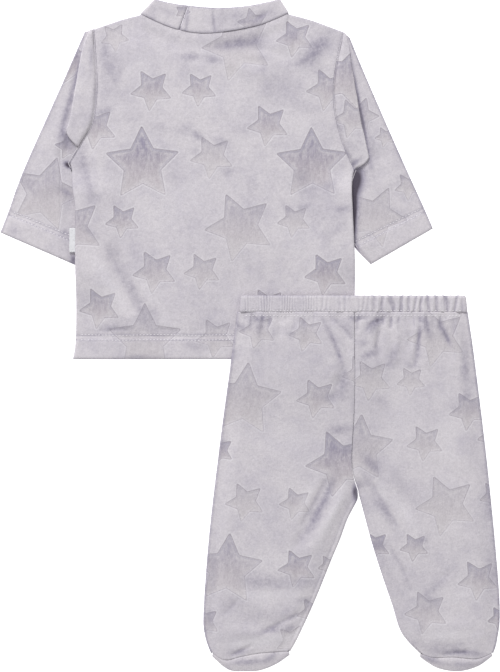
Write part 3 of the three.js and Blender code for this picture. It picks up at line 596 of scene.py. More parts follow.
TROUSER_SHADE_HIGHLIGHT_AND_NAP = table("x y long wide tilt strength", [
    (-101.2, -27.4, 5.4, 3.6, 0, 0.8),
    (-85, -28.4, 2.7, 8.1, 0, 0.55),
    (-81.5, -19.4, 7.2, 2.2, 10, 0.75),
    (-89.5, -14, 2.7, 3.6, 0, 0.35),
    (-72.5, -31.1, 2.7, 7.2, 0, 0.35),
    (-56.2, -33.8, 4.5, 2.2, 0, 0.5),
    (-44.6, -23.9, 2.3, 5.4, 0, 0.45),
    (-34.6, -15.8, 2.7, 4.5, 0, 0.4),
    (2.2, -19.4, 8.1, 2.9, 10, 0.65),
    (19.4, -23.9, 9.9, 4.1, 38, 0.95),
    (-6.8, -26.6, 9, 3.2, -38, 0.45),
    (9.5, -41.9, 4.5, 2.7, 0, 0.5),
    (14, -51.8, 8.1, 3.2, 22, 0.6),
    (11.2, -64.4, 6.3, 3.6, -40, 0.4),
    (35.6, -52.6, 6.3, 3.2, 62, 0.7),
    (31.9, -62.6, 8.1, 3.6, 10, 0.4),
    (52.6, -62.6, 6.3, 2.7, 0, 0.55),
    (59, -39.1, 21.6, 1.8, 90, 0.35),
    (65.2, -26.6, 10.8, 3.6, -66, 0.8),
    (81.5, -32.9, 12.6, 2.7, -62, 0.95),
    (90.5, -26.6, 2.7, 7.2, 0, 0.4),
    (100.5, -62, 4, 24, 2, 0.65),
    (16.6, -151, 12, 6, -50, 0.75),
    (-11.3, -89.6, 7, 6, 0, 0.4),
    (101.2, -90.5, 5.4, 3.1, 0, 0.5),
    (89.5, -100.4, 9.9, 7.2, 0, 0.35),
    (24.8, -95, 8.1, 4, -30, 0.4),
    (-9.5, -77, 6.3, 9, 0, 0.65),
    (-21.2, -90.5, 8.1, 4.1, 10, 0.5),
    (-13.1, -120.2, 10.8, 4.1, 6, 0.7),
    (-6.8, -137.2, 5.4, 3.6, 20, 0.8),
    (-20.2, -140, 5.4, 14.4, 0, 0.3),
    (-32, -194.5, 29, 4.2, 62, 0.9),
    (-22, -172, 12, 4, 70, 0.4),
    (3.1, -171.5, 7.2, 3.2, 55, 0.8),
    (1.6, -178, 2.6, 7.5, 8, 1.6),
    (14, -167, 14, 4, -58, 0.35),
    (29.2, -194, 16.2, 4.1, -58, 0.7),
    (40.1, -165.2, 18, 6.3, -55, 0.3),
    (22.9, -223.7, 7.2, 6.3, 0, 0.7),
    (61.6, -219.2, 7.2, 3.6, 30, 0.6),
    (72, -262, 14, 4, 38, 0.5),
    (60, -300, 4, 10, -20, 0.4),
    (70.7, -273.2, 5.4, 3.2, 0, 0.5),
    (-74, -258, 27, 6, -2, 0.3),
    (-110.2, -274.9, 9, 7.2, 40, 0.2),
    (-75, -301, 22, 3.4, 14, 0.65),
    (-57.1, -300.2, 6.3, 3.2, 25, 0.8),
    (-44.6, -273.2, 6.3, 2.7, 0, 0.6),
    (-46.4, -256.9, 6.3, 5.4, 30, 0.45),
    (-99.5, -319, 10.8, 2.7, 9, 0.7),
    (-93.2, -328.9, 16.2, 2.3, 4, 0.9),
    (-73.4, -323.6, 7.2, 2.7, 35, 0.85),
    (91.4, -320.5, 19.8, 3, -4, 0.7),
    (103, -319.9, 10.8, 2.3, -5, 0.6),
    (70.7, -327.2, 11.7, 2.5, -18, 0.75),
    (97.7, -330.8, 10.8, 2.3, 0, 0.55),
    (-113, -75.2, 2.7, 23.4, -8, 0.4),
    (-118.4, -133.7, 4.5, 8.1, 0, 0.5),
    (-126.5, -250.7, 3.6, 21.6, -4, 0.4),
    (-129.2, -291.2, 4.5, 9, 0, 0.45),
    (121, -183.2, 3.6, 18, 4, 0.45),
    (124.7, -246.2, 4.5, 19.8, 3, 0.4),
    (32.9, -250.7, 18, 5.4, -60, 0.25),
    (-22, -34, 14, 2, -62, 0.45),
    (-12, -56, 16, 2.6, -72, 0.5),
    (-4, -34, 9, 2, -48, 0.4),
    (-18.5, -198, 31, 4.6, 62, -0.85),
    (-42, -180, 18, 4, 62, -0.4),
    (24, -176, 14, 4.5, -60, -0.4),
    (48, -196, 22, 6, -58, -0.35),
    (-76, -268, 26, 4, 0, -0.4),
    (-74, -286, 26, 6, 6, 0.25),
    (-86, -310, 26, 6, 8, -1.0),
    (-53, -303, 18, 6, 55, -0.6),
    (-80, -255, 22, 9, 0, 0.3),
    (-80, -240, 24, 9, 0, -0.2),
    (84, -304, 22, 5, 2, -0.7),
    (84, -313.6, 15, 3, 2, 0.35),
    (96, -268, 14, 6, 20, -0.3),
    (-60, -128, 30, 14, -20, -0.25),
    (-72, -66, 22, 12, 0, -0.2),
    (84, -130, 10, 40, 0, -0.25),
    (40, -110, 16, 22, 0, -0.2),
])
LEFT_SLEEVE_SHADE_AND_NAP = table("x y long wide tilt strength", [
    (-131.5, 228, 3, 32, -15, 1.0),
    (-136.8, 200.2, 2.7, 7.2, 0, 0.7),
    (-133.2, 193.1, 3.6, 8.1, 0, 0.8),
    (-132.2, 173.2, 4.6, 2.8, -30, 2.4),
    (-127.8, 186.8, 3.6, 8.1, 30, 0.35),
    (-134.1, 149, 7.2, 3.1, -35, 0.8),
    (-133.2, 139.1, 4.5, 6.3, 0, 0.4),
    (-127.4, 88, 4, 5, 20, 1.5),
    (-166.5, 152.6, 8.1, 2.2, -45, 0.4),
    (-134.1, 107.5, 3.6, 9, 0, 0.35),
    (-122, 262, 1.8, 18, -14, 0.7),
    (-163.8, 159.8, 9, 5.4, 0, 0.2),
    (-178.2, 113.9, 8.1, 2.7, 0, 0.3),
])
RIGHT_SLEEVE_SHADE_AND_NAP = table("x y long wide tilt strength", [
    (127, 160, 6.5, 12, -6, 2.6),
    (124.5, 138, 4.6, 16, 0, 2.2),
    (124.4, 116.5, 3.2, 19.8, 0, 1.8),
    (130.2, 226, 44, 1.8, -79, 1.3),
    (135.5, 205, 22, 5, -76, 0.4),
    (140.4, 185, 6.3, 8.1, 0, 0.4),
    (136.8, 170.6, 4.5, 7.2, 0, 0.35),
    (168.3, 162.5, 3.6, 2.7, 0, 0.45),
    (164.7, 131, 10.8, 2.7, -30, 0.35),
    (126.9, 98.5, 3.6, 6.3, 30, 0.7),
])
LEFT_FLAP_SHADE_AND_NAP = table("x y long wide tilt strength", [
    (-111.6, 265.1, 1.8, 12.6, 0, 0.55),
    (-108, 240.8, 1.8, 12.6, 0, 0.4),
])
RIGHT_FLAP_SHADE_AND_NAP = table("x y long wide tilt strength", [
    (117.9, 185, 9, 3.6, -50, 0.45),
    (123.3, 190.3, 7.2, 2.7, -40, 0.35),
    (126, 175.1, 7.2, 2.2, 35, 0.9),
    (130.5, 193.1, 5.4, 2.7, -60, 0.3),
    (114.3, 204.8, 4.5, 2.7, -40, 0.3),
])
# The count takes in the ovals of painted shade and painted highlight as well as brushed nap.
print("brushed marks charted:", len(TOP_SHADE_HIGHLIGHT_AND_NAP.x) + len(TROUSER_SHADE_HIGHLIGHT_AND_NAP.x))

# %% [markdown]
# ## Velour
#
# Velour is a knit whose face is a dense, short pile. Three things give it away: a broad
# mottle where the pile has been brushed one way or the other, a fine fibre grain, and a
# sheen that lightens every surface that turns away. The material has all three. Its stars
# come from the mesh, which carries for every point how far it is from a star's outline.
# Shader sums are written as plain Python through one small class, so that the recipe
# stays readable.

# %% Shader sums in Python
class Wire:
    """One output of a material's nodes, on which Python's operators work."""

    def __init__(self, tree, socket=None):
        self.tree = tree
        self.socket = socket

    def node(self, kind, settings=None, inputs=None, output=0):
        made = self.tree.nodes.new(kind)
        for name, value in (settings or {}).items():
            setattr(made, name, value)
        for name, value in (inputs or {}).items():
            if isinstance(value, Wire):
                self.tree.links.new(value.socket, made.inputs[name])
            else:
                made.inputs[name].default_value = value
        return Wire(self.tree, made.outputs[output])

    def sum(self, operation, first, second):
        return self.node("ShaderNodeMath", {"operation": operation}, {0: first, 1: second})

    def __add__(self, other):
        return self.sum("ADD", self, other)

    def __sub__(self, other):
        return self.sum("SUBTRACT", self, other)

    def __mul__(self, other):
        return self.sum("MULTIPLY", self, other)

    def __rsub__(self, other):
        return self.sum("SUBTRACT", other, self)

    __radd__ = __add__
    __rmul__ = __mul__

    def ramp(self, low, high):
        """0 up to low, 1 from high on, and a soft slope between them."""
        return self.node(
            "ShaderNodeMapRange", {"interpolation_type": "SMOOTHSTEP"},
            {"Value": self, "From Min": low, "From Max": high},
        )

    def size(self):
        """The value without its sign."""
        return self.node("ShaderNodeMath", {"operation": "ABSOLUTE"}, {0: self})

    def stretch(self, x, y, z):
        """A place whose noise looks longer where the number is small."""
        return self.node("ShaderNodeVectorMath", {"operation": "MULTIPLY"}, {0: self, 1: (x, y, z)})

    def times(self, colour):
        """A colour multiplied by another."""
        inputs = {0: 1.0, 6: self, 7: colour}
        return self.node("ShaderNodeMix", {"data_type": "RGBA", "blend_type": "MULTIPLY"}, inputs, output=2)

    def colours(self, start, stop):
        """The colour start at 0 and the colour stop at 1."""
        inputs = {0: self, 6: start, 7: stop}
        return self.node("ShaderNodeMix", {"data_type": "RGBA"}, inputs, output=2)


def screen(red, green, blue):
    """A colour as a screen shows it, 0 to 255, turned into the light that it stands for."""
    parts = [c / 255 for c in (red, green, blue)]
    return (*[c / 12.92 if c < 0.04045 else ((c + 0.055) / 1.055) ** 2.4 for c in parts], 1)


def noise(start, place, size, detail=2, roughness=0.5):
    """Soft noise whose patches are about this many millimetres across."""
    return start.node(
        "ShaderNodeTexNoise", {},
        {"Vector": place, "Scale": 1000 / size, "Detail": detail, "Roughness": roughness},
    )


def material(name):
    made = bpy.data.materials.new(name)
    made.use_nodes = True
    return made, Wire(made.node_tree), made.node_tree.nodes["Principled BSDF"]


def connect(wire, shader, name):
    wire.tree.links.new(wire.socket, shader.inputs[name])


# %% Velour
velour, start, shader = material("star_velour")
place = start.node("ShaderNodeTexCoord", output="Object")
star = start.node("ShaderNodeAttribute", {"attribute_name": "star"}, output="Fac")
tone = start.node("ShaderNodeAttribute", {"attribute_name": "tone"}, output="Fac")
brow = start.node("ShaderNodeAttribute", {"attribute_name": "brow"}, output="Fac")
# Painted shade, painted highlight and brushed nap, carried by the mesh: above 0 darker, above 1 deep shadow, below
# 0 lighter.
shade_highlight_and_nap = start.node("ShaderNodeAttribute", {"attribute_name": "shade_highlight_and_nap"}, output="Fac")

brushed = noise(start, place, 40, 4, 0.55).ramp(0.38, 0.68)
smudge = noise(start, place, 12, 4, 0.65).ramp(0.42, 0.7)
speck = noise(start, place, 3.2, 3, 0.7)
fibre = noise(start, place, 1.3, 2, 0.7)
ground = (brushed * 0.5 + smudge * 0.5).colours(screen(211, 206, 211), screen(195, 190, 199))

ragged = star + (fibre - 0.5) * 0.8 + (speck - 0.5) * 1.0
inside = 1 - ragged.ramp(-0.5, 0.3)
deep = 1 - (star + (smudge - 0.5) * 3).ramp(-6.5, -0.5)
hatch = noise(start, place.stretch(1, 0.3, 1), 2.4, 3, 0.75).ramp(0.3, 0.7)
# The depth inside a star gives its mauve core; painted shade makes it darker and bluer towards its upper part.
pile_and_upper_shade = tone * (deep * (0.3 + brow * 0.6) + brow * 0.22) * (0.55 + hatch * 0.75)
star_colour_and_shade = pile_and_upper_shade.colours(
    screen(207, 202, 206), brow.colours(screen(172, 160, 166), screen(157, 152, 170)),
)
colour = inside.colours(ground, star_colour_and_shade)
# Painted shade along the inside of each star's upper edge.
edge_shade = (1 - (ragged + 1.2).size().ramp(0.2, 1.7)) * brow * tone
colour = (edge_shade * 0.75).colours(colour, screen(160, 156, 174))
# A thin dark outline round each star is its own edge colour; painted shade makes it stronger along the upper edge.
line = 1 - (ragged + 0.1).size().ramp(0.05, 0.5)
colour = (line * (0.22 + tone * 0.4 + brow * 0.4)).colours(colour, screen(158, 150, 160))
# Painted highlight: a thin pale line just outside each star, where the raised pile catches the light.
rim_highlight = 1 - (ragged - 0.95).size().ramp(0.1, 0.7)
colour = (rim_highlight * (0.2 + tone * 0.3)).colours(colour, screen(224, 222, 226))
# Painted shade and brushed nap: a darker, bluish pile where the ovals are above 0.
darker_shade_and_nap = shade_highlight_and_nap * (1.0 + (speck - 0.5) * 1.1 + (smudge - 0.5) * 0.4)
colour = darker_shade_and_nap.node("ShaderNodeClamp", {}, {"Value": darker_shade_and_nap}).colours(colour, screen(158, 153, 168))
# Painted deep shadow where the ovals go above 1, in narrow gaps and under overlapping cloth.
slit_shadow = shade_highlight_and_nap - 1
colour = slit_shadow.node("ShaderNodeClamp", {}, {"Value": slit_shadow}).colours(colour, screen(84, 78, 90))
# Painted highlight where the ovals go below 0.
pale = 0 - shade_highlight_and_nap * (0.8 + (smudge - 0.5) * 0.4)
colour = pale.node("ShaderNodeClamp", {}, {"Value": pale}).colours(colour, screen(231, 227, 232))
colour = (fibre * 0.55 + speck * 0.45).ramp(0.25, 0.75).colours(
    colour.times((1.1, 1.1, 1.1, 1)), colour.times((0.87, 0.87, 0.88, 1)),
)
connect(colour, shader, "Base Color")
connect(0.84 + fibre * 0.1, shader, "Roughness")
height = fibre * 0.5 + speck * 0.5 + hatch * inside * 0.4
bump = start.node("ShaderNodeBump", {}, {"Height": height, "Distance": 0.0005, "Strength": 0.75})
connect(bump, shader, "Normal")
shader.inputs["Specular IOR Level"].default_value = 0.12
shader.inputs["Sheen Weight"].default_value = 0.07
shader.inputs["Sheen Roughness"].default_value = 0.5
shader.inputs["Sheen Tint"].default_value = screen(232, 230, 240)
print("nodes in the velour:", len(velour.node_tree.nodes))

# %% [markdown]
# Thread is a plain smooth lilac-grey, a little lighter than the cloth. The label is a
# short woven tape: white, with the fine ribs of its weave across it.

# %% Thread and tape
thread, start, shader = material("pale_thread")
place = start.node("ShaderNodeTexCoord", output="Object")
twist = noise(start, place, 0.4, 2)
connect(twist.colours(screen(233, 230, 234), screen(216, 212, 218)), shader, "Base Color")
shader.inputs["Roughness"].default_value = 0.6

tape, start, shader = material("woven_tape")
place = start.node("ShaderNodeTexCoord", output="Object")
rib = start.node(
    "ShaderNodeTexWave", {"bands_direction": "Y"}, {"Vector": place, "Scale": 620, "Distortion": 0.3},
)
stain = noise(start, place, 9, 2)
connect((rib * 0.5 + stain * 0.4).colours(screen(240, 240, 243), screen(224, 224, 230)), shader, "Base Color")
connect(0.62 + stain * 0.15, shader, "Roughness")
connect(start.node("ShaderNodeBump", {}, {"Height": rib, "Distance": 0.00012}), shader, "Normal")
shader.inputs["Sheen Weight"].default_value = 0.15

# %% [markdown]
# ## A wall of cloth
#
# `cloth` takes rows of points on the middle of the cloth and makes the closed wall round
# them. It stands the two faces off along the cloth's own direction at each point, adds
# the relief of the face that shows, and closes the cut edges.

# %% A wall of cloth
def add_piece(name, points, faces, look, place, fields=None, node=None):
    """Makes the mesh in metres, gives it its look and lets it ride on the whole set."""
    points = np.asarray(points, float).reshape(-1, 3) + [place[0], place[1], 0]
    mesh = bpy.data.meshes.new(name)
    mesh.from_pydata(points / 1000, [], faces)
    mesh.polygons.foreach_set("use_smooth", np.ones(len(mesh.polygons), bool))
    for field, values in (fields or {}).items():
        layer = mesh.attributes.new(field, "FLOAT", "POINT")
        layer.data.foreach_set("value", np.asarray(values, np.float32).ravel())
    mesh.materials.append(look)
    piece = bpy.data.objects.new(name, mesh)
    scene.collection.objects.link(piece)
    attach(piece, "root")
    if node:
        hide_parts(node)
    return piece


def directions(middle, ring=False):
    """The way out of the cloth at each point of its middle."""
    if ring:
        across = np.roll(middle, -1, 1) - np.roll(middle, 1, 1)
    else:
        across = np.gradient(middle, axis=1)
    along = np.gradient(middle, axis=0)
    out = np.cross(across, along)
    return out / np.maximum(np.linalg.norm(out, axis=2, keepdims=True), 1e-9)


def grid_faces(tall, wide, ring, start):
    i, j = np.meshgrid(np.arange(tall - 1), np.arange(wide if ring else wide - 1), indexing="ij")
    a = start + i * wide + j
    b = start + i * wide + (j + 1) % wide
    return np.stack([a, b, b + wide, a + wide], axis=-1).reshape(-1, 4)


def cloth(name, middle, thick, relief=0, fields=None, ring=False, flip=False, place=TOP_PLACE, inner=None):
    """A closed wall; flip puts the face that shows on the other side."""
    tall, wide = middle.shape[:2]
    out = directions(middle, ring) * (-1 if flip else 1)
    under = thick / 2 if inner is None else inner[..., None]
    outer = middle + out * (thick / 2 + np.broadcast_to(relief, (tall, wide))[..., None])
    faces_out = grid_faces(tall, wide, ring, 0)
    faces_in = grid_faces(tall, wide, ring, tall * wide)[:, ::-1]
    if ring:
        loops = [np.arange(wide), (tall - 1) * wide + np.arange(wide)]
        rims = []
        for k, loop in enumerate(loops):
            after = np.roll(loop, -1)
            order = [loop, loop + tall * wide, after + tall * wide, after]
            rims.append(np.stack(order if k == 0 else order[::-1], axis=-1))
    else:
        grid = np.arange(tall * wide).reshape(tall, wide)
        border = np.concatenate([grid[0, :-1], grid[:-1, -1], grid[-1, :0:-1], grid[:0:-1, 0]])
        after = np.roll(border, -1)
        rims = [np.stack([border, border + tall * wide, after + tall * wide, after], axis=-1)]
    faces = np.vstack([faces_out, faces_in, *rims])
    if flip:
        faces = faces[:, ::-1]
    points = np.concatenate([outer.reshape(-1, 3), (middle - out * under).reshape(-1, 3)])
    blank = {"star": 60.0, "tone": 0.0, "brow": 0.0, "shade_highlight_and_nap": 0.0}
    shown = fields or {}
    both = {
        k: np.concatenate([np.broadcast_to(shown.get(k, v), (tall, wide)).ravel(), np.full(tall * wide, v)])
        for k, v in blank.items()
    }
    piece = add_piece(f"{name}_cloth", points, faces.tolist(), velour, place, both, node=name)
    print(f"{name}: {tall} rows of {wide}, {len(piece.data.polygons) * 2} triangles")
    return SimpleNamespace(piece=piece, face=outer)


def body_lift(x, y):
    """The sides of the body lie on the sleeves, between the cuff and the underarm."""
    left = smooth(y, 34, 79) * (1 - smooth(y, 146, 172)) * (1 - smooth(x + 126, 6, 46))
    right = smooth(y, 50, 95) * (1 - smooth(y, 146, 170)) * (1 - smooth(125 - x, 6, 46))
    return SLEEVE_LIFT * np.maximum(left, right)


def trouser_lift(x, y):
    """The trousers lie over the lower corner of the top."""
    side = TOP_PLACE[0] + 127 - TROUSER_PLACE[0]
    hem = TOP_PLACE[1] - TROUSER_PLACE[1]
    return TOP_PRESSED * (1 - smooth(x, side + 1.5, side + 46)) * smooth(y, hem - 80, hem - 1.5)


def pressed(x, y):
    """How far the trousers press the top flat: 1 right under them."""
    waist = TROUSER_PLACE[1] - TOP_PLACE[1]
    side = TROUSER_PLACE[0] - 104 - TOP_PLACE[0]
    return smooth(x, side - 50, side - 4) * (1 - smooth(y, waist + 2, waist + 56))


def armhole_puff(share):
    return 1.2 * np.sin(math.pi * np.clip(share, 0, 1))


TURNS = np.radians([90, 68, 45, 22, 0])
TURN_IN = CLOTH / 2 + TURNED_EDGE * (1 - np.sin(TURNS))
TURN_DROP = TURNED_EDGE * (1 - np.cos(TURNS))

# %% [markdown]
# ## The top's back
#
# The back is one panel from hem to neck. At the sides and shoulders it bends down to the
# seam that joins it to the front. Its hem is turned in and sewn with two rows, which
# leaves a double edge about 18 mm deep with small puckers along the stitches.

# %% The back of the top
def body_plan(neck):
    across = chain([edge(LEFT_SHOULDER), edge(neck), edge(RIGHT_SHOULDER)], [NECK_START, NECK_END, 1])

    def hem_line(u):
        u = np.asarray(u, float)
        return np.stack([mix(LEFT_SIDE.across[0], RIGHT_SIDE.across[0], u), 0 * u - HEM_DROP], axis=-1)

    return cut_piece(hem_line, across, left_edge, right_edge)


def top_back():
    top_insets = np.concatenate([[5, 3.4], TURN_IN[::-1]]) / BODY_LONG
    v = np.concatenate([np.linspace(0, 1 - 6.3 / BODY_LONG, 232), 1 - top_insets])
    top_drop = np.concatenate([np.zeros(234), TURN_DROP[::-1]])
    is_side = 1 - smooth(v, 0.57, UNDERARM)
    width = right_edge(v)[:, 0] - left_edge(v)[:, 0]
    near = mix(np.array([0, 0.45, 0.9, 1.35, 1.9])[None], TURN_IN[None], is_side[:, None]) / width[:, None]
    middle_u = mix(near[:, -1:], 1 - near[:, -1:], np.linspace(0, 1, 186)[None, 1:-1])
    u = np.concatenate([near, middle_u, 1 - near[:, ::-1]], axis=1)
    side_drop = np.zeros_like(u)
    side_drop[:, :5] = TURN_DROP[None] * is_side[:, None]
    side_drop[:, -5:] = side_drop[:, 4::-1]
    past_start = smooth(u, NECK_START - 0.004, NECK_START + 0.004)
    past_end = smooth(u, NECK_END - 0.004, NECK_END + 0.004)
    shoulder = 1 - past_start * (1 - past_end)
    V = v[:, None] + (1 - shoulder) * smooth(v, 0.96, 1)[:, None] * 1.1 / BODY_LONG
    p = body_plan(BACK_NECK)(u, V)
    x, y = p[..., 0], p[..., 1]
    from_side = np.minimum(u, 1 - u) * width[:, None]
    under = pressed(x, y)
    near_top = 1 - smooth(V, 0.9, 0.985)
    inside = smooth(np.minimum(u, 1 - u), 0.006, 0.13)
    neck_rise = (1 - shoulder) * 1.15 * (1 - near_top) * smooth(V, 0.95, 0.985)
    edge_rise = armhole_puff((V - UNDERARM) / (1 - UNDERARM)) * near_top
    rise = mix(edge_rise, mix(BODY_PUFF, 0.2, under) * near_top, inside) + neck_rise
    free = near_top * inside * (1 - under)
    crease = crease_height(TOP_CREASES, x, y) * free
    z = UPPER + body_lift(x, y) + rise - np.maximum(top_drop[:, None] * mix(0.85, 1, shoulder), side_drop)
    star, tone, brow = star_field(TOP_STARS, x, y)
    hem = HEM_EXTRA * (1 - smooth(y, 16.2, 18.4)) * smooth(from_side, 0.9, 3)
    hem = hem - 0.75 * (1 - smooth(y + HEM_DROP, 0, 2.2)) ** 2
    stitches = -0.4 * sum(bell(y - row, 0.6) for row in HEM_ROWS)
    seam = -0.3 * bell(from_side, 1.7) * smooth(V, 0.58, 0.6)
    neck = -0.2 * bell((1 - V) * BODY_LONG - 0.7, 2) * (1 - shoulder)
    fine = crease_height(HEM_CREASES, x, y) * smooth(from_side, 2, 8) * (1 - under)
    relief = np.maximum(crease, 0) + hem + stitches * (1 - under * 0.6) + seam + neck
    relief = relief + np.maximum(fine, -0.8) + star_relief(star) * smooth(from_side, 0.5, 3)
    z = z + np.minimum(crease, 0)
    # Painted shade: darker where the cloth turns down at the sides, shoulders and hem, a little along the neck
    # under the collar, and along the hem's stitch rows.
    shade_highlight_and_nap = patches(TOP_SHADE_HIGHLIGHT_AND_NAP, x, y) + 0.2 * bell(from_side, 1.1)
    shade_highlight_and_nap = shade_highlight_and_nap + 0.7 * sum(bell(y - row, 0.7) for row in HEM_ROWS)
    shade_highlight_and_nap = shade_highlight_and_nap + (0.1 + 0.6 * shoulder) * bell((1 - V) * BODY_LONG - 0.2, 1.2) + 0.4 * bell(y + HEM_DROP, 0.9)
    fields = {"star": star, "tone": tone, "brow": brow, "shade_highlight_and_nap": shade_highlight_and_nap}
    return cloth("top_back", np.dstack([x, y, z]), CLOTH, relief, fields)


back = top_back()

# %% [markdown]
# ## The top's front
#
# The front lies face down on the table, so its outside is the lower face. It carries the
# same kind of stars, placed as on the back but from the other side.

# %% The front of the top
def top_front():
    v = np.linspace(0, 1, 124)
    width = right_edge(v)[:, 0] - left_edge(v)[:, 0]
    u = np.broadcast_to(np.linspace(0, 1, 104)[None], (len(v), 104))
    V = np.broadcast_to(v[:, None], u.shape)
    p = body_plan(FRONT_NECK)(u, V)
    x, y = p[..., 0], p[..., 1]
    star, tone, brow = star_field(TOP_STARS, -x + 14, y + 22)
    fields = {"star": star, "tone": tone, "brow": brow}
    relief = star_relief(star) * smooth(np.minimum(u, 1 - u) * width[:, None], 0.5, 3)
    z = CLOTH / 2 + body_lift(x, y)
    return cloth("top_front", np.dstack([x, y, z]), CLOTH, np.minimum(relief, 0), fields, flip=True)


front = top_front()

# %% [markdown]
# ## Sleeves and legs
#
# A sleeve and a leg are the same thing: a flattened tube cut from one piece. Each row of
# the wall starts at the inner line, runs over the upper layer, round the outer fold and
# back through the lower layer. Above the underarm, or the crotch, both layers end at the
# seam with the next piece; below it they are sewn to each other, so the upper layer bends
# down to meet the lower one.

# %% A flattened tube
def square_to(line, turn):
    along = np.gradient(line, axis=0)
    along = along / np.linalg.norm(along, axis=1, keepdims=True)
    return np.stack([-along[:, 1] * turn, along[:, 0] * turn], axis=-1)


def tube(away, inner, outer, parted, gap, upper, lower, upper_at, lower_at, form):
    """Rows of the wall's middle. upper and lower give the layers' distances from the inner line."""
    rows = len(inner)
    width = np.linalg.norm(outer - inner, axis=1)
    lean = 1 - smooth(np.arange(rows), 0, 10)[:, None]
    inward = []
    for line, other, turn in ((inner, outer, away), (outer, inner, -away)):
        square = square_to(line, turn)
        across = (other - line) / width[:, None]
        aslant = across / np.sum(across * square, axis=1, keepdims=True)
        inward.append(mix(square, aslant, lean))
    reach = width - FOLD_RADIUS * np.linalg.norm(inward[1], axis=1)
    top = 2 * FOLD_RADIUS
    w, P = width[:, None], parted[:, None]

    bend_off = mix(gap[:, None] + 0.4 * np.arange(5)[None], TURN_IN[None], P)
    bend_h = top - TURN_DROP[None] * P
    up_off, up_h = upper(reach)
    angles = np.radians(np.linspace(90, -90, 9))
    fold_back = np.broadcast_to(FOLD_RADIUS * (1 - np.cos(angles)), (rows, 9))
    fold_h = np.broadcast_to(FOLD_RADIUS * (1 + np.sin(angles)), (rows, 9))
    low_off = lower(reach)
    last_off = mix(gap[:, None], 0, P)

    def from_line(line, inward_way, off):
        return line[:, None] + inward_way[:, None] * off[..., None]

    p = np.concatenate([
        from_line(inner, inward[0], bend_off),
        upper_at(up_off / w),
        from_line(outer, inward[1], fold_back),
        lower_at(low_off / w),
        from_line(inner, inward[0], last_off),
    ], axis=1)
    h = np.concatenate([bend_h, top + up_h, fold_h, 0 * low_off, 0 * last_off], axis=1)
    from_inner = np.concatenate([bend_off, up_off, w - fold_back, low_off, last_off], axis=1)
    from_outer = np.concatenate([w - bend_off, w - up_off, fold_back, w - low_off, w - last_off], axis=1)
    is_upper = np.zeros(h.shape)
    is_upper[:, : 5 + up_off.shape[1] + 1] = 1
    base, rise, relief, fields = form(p, from_inner, from_outer, is_upper)
    z = CLOTH / 2 + base + h + is_upper * rise
    return np.dstack([p[..., 0], p[..., 1], z]), relief, fields


# %% [markdown]
# ### The fold beside the armhole
#
# Both sleeves were cut to reach outwards, and they lie pulled down beside the body. The
# spare cloth beside each armhole folds over itself: seen along a row, the upper layer
# runs out, turns back under itself for a few millimetres, and turns out again. Where the
# fold runs out towards the shoulder and the underarm, the same points open up into an
# ordinary flat layer.

# %% The folds beside the armholes
LEFT_FLAP = table("share width", [
    (0, 3), (0.03, 4.7), (0.1, 8.6), (0.2, 12.5), (0.35, 16.8), (0.5, 19.7), (0.62, 20.5),
    (0.7, 19.6), (0.78, 17.7), (0.82, 13.5), (0.84, 9.5), (0.855, 5), (0.88, 1), (3, 1),
])
RIGHT_FLAP = table("share width", [
    (0, 2.4), (0.03, 3.7), (0.1, 7.4), (0.2, 11.5), (0.35, 17.3), (0.5, 20.6), (0.6, 21),
    (0.8, 19.6), (0.9, 17.1), (0.96, 15.4), (0.98, 12), (0.99, 6), (1, 1.5), (3, 1),
])


def seam_groove(x, y, from_inner):
    """The underarm seam of the left sleeve, which has rolled round to the side that shows."""
    on_left = (x < 0) * smooth(y, 120, 128) * (1 - smooth(y, 196, 204))
    return -0.5 * on_left * bell(x + 139.3, 0.7)

# %% [markdown]
# ### One sleeve
#
# A sleeve has straight rows from its inner line to its outer fold. The turned cuff makes
# the last 18 mm thicker, and the fold beside the armhole takes up a set number of points
# in every row, so that it can open and close without a break in the mesh.

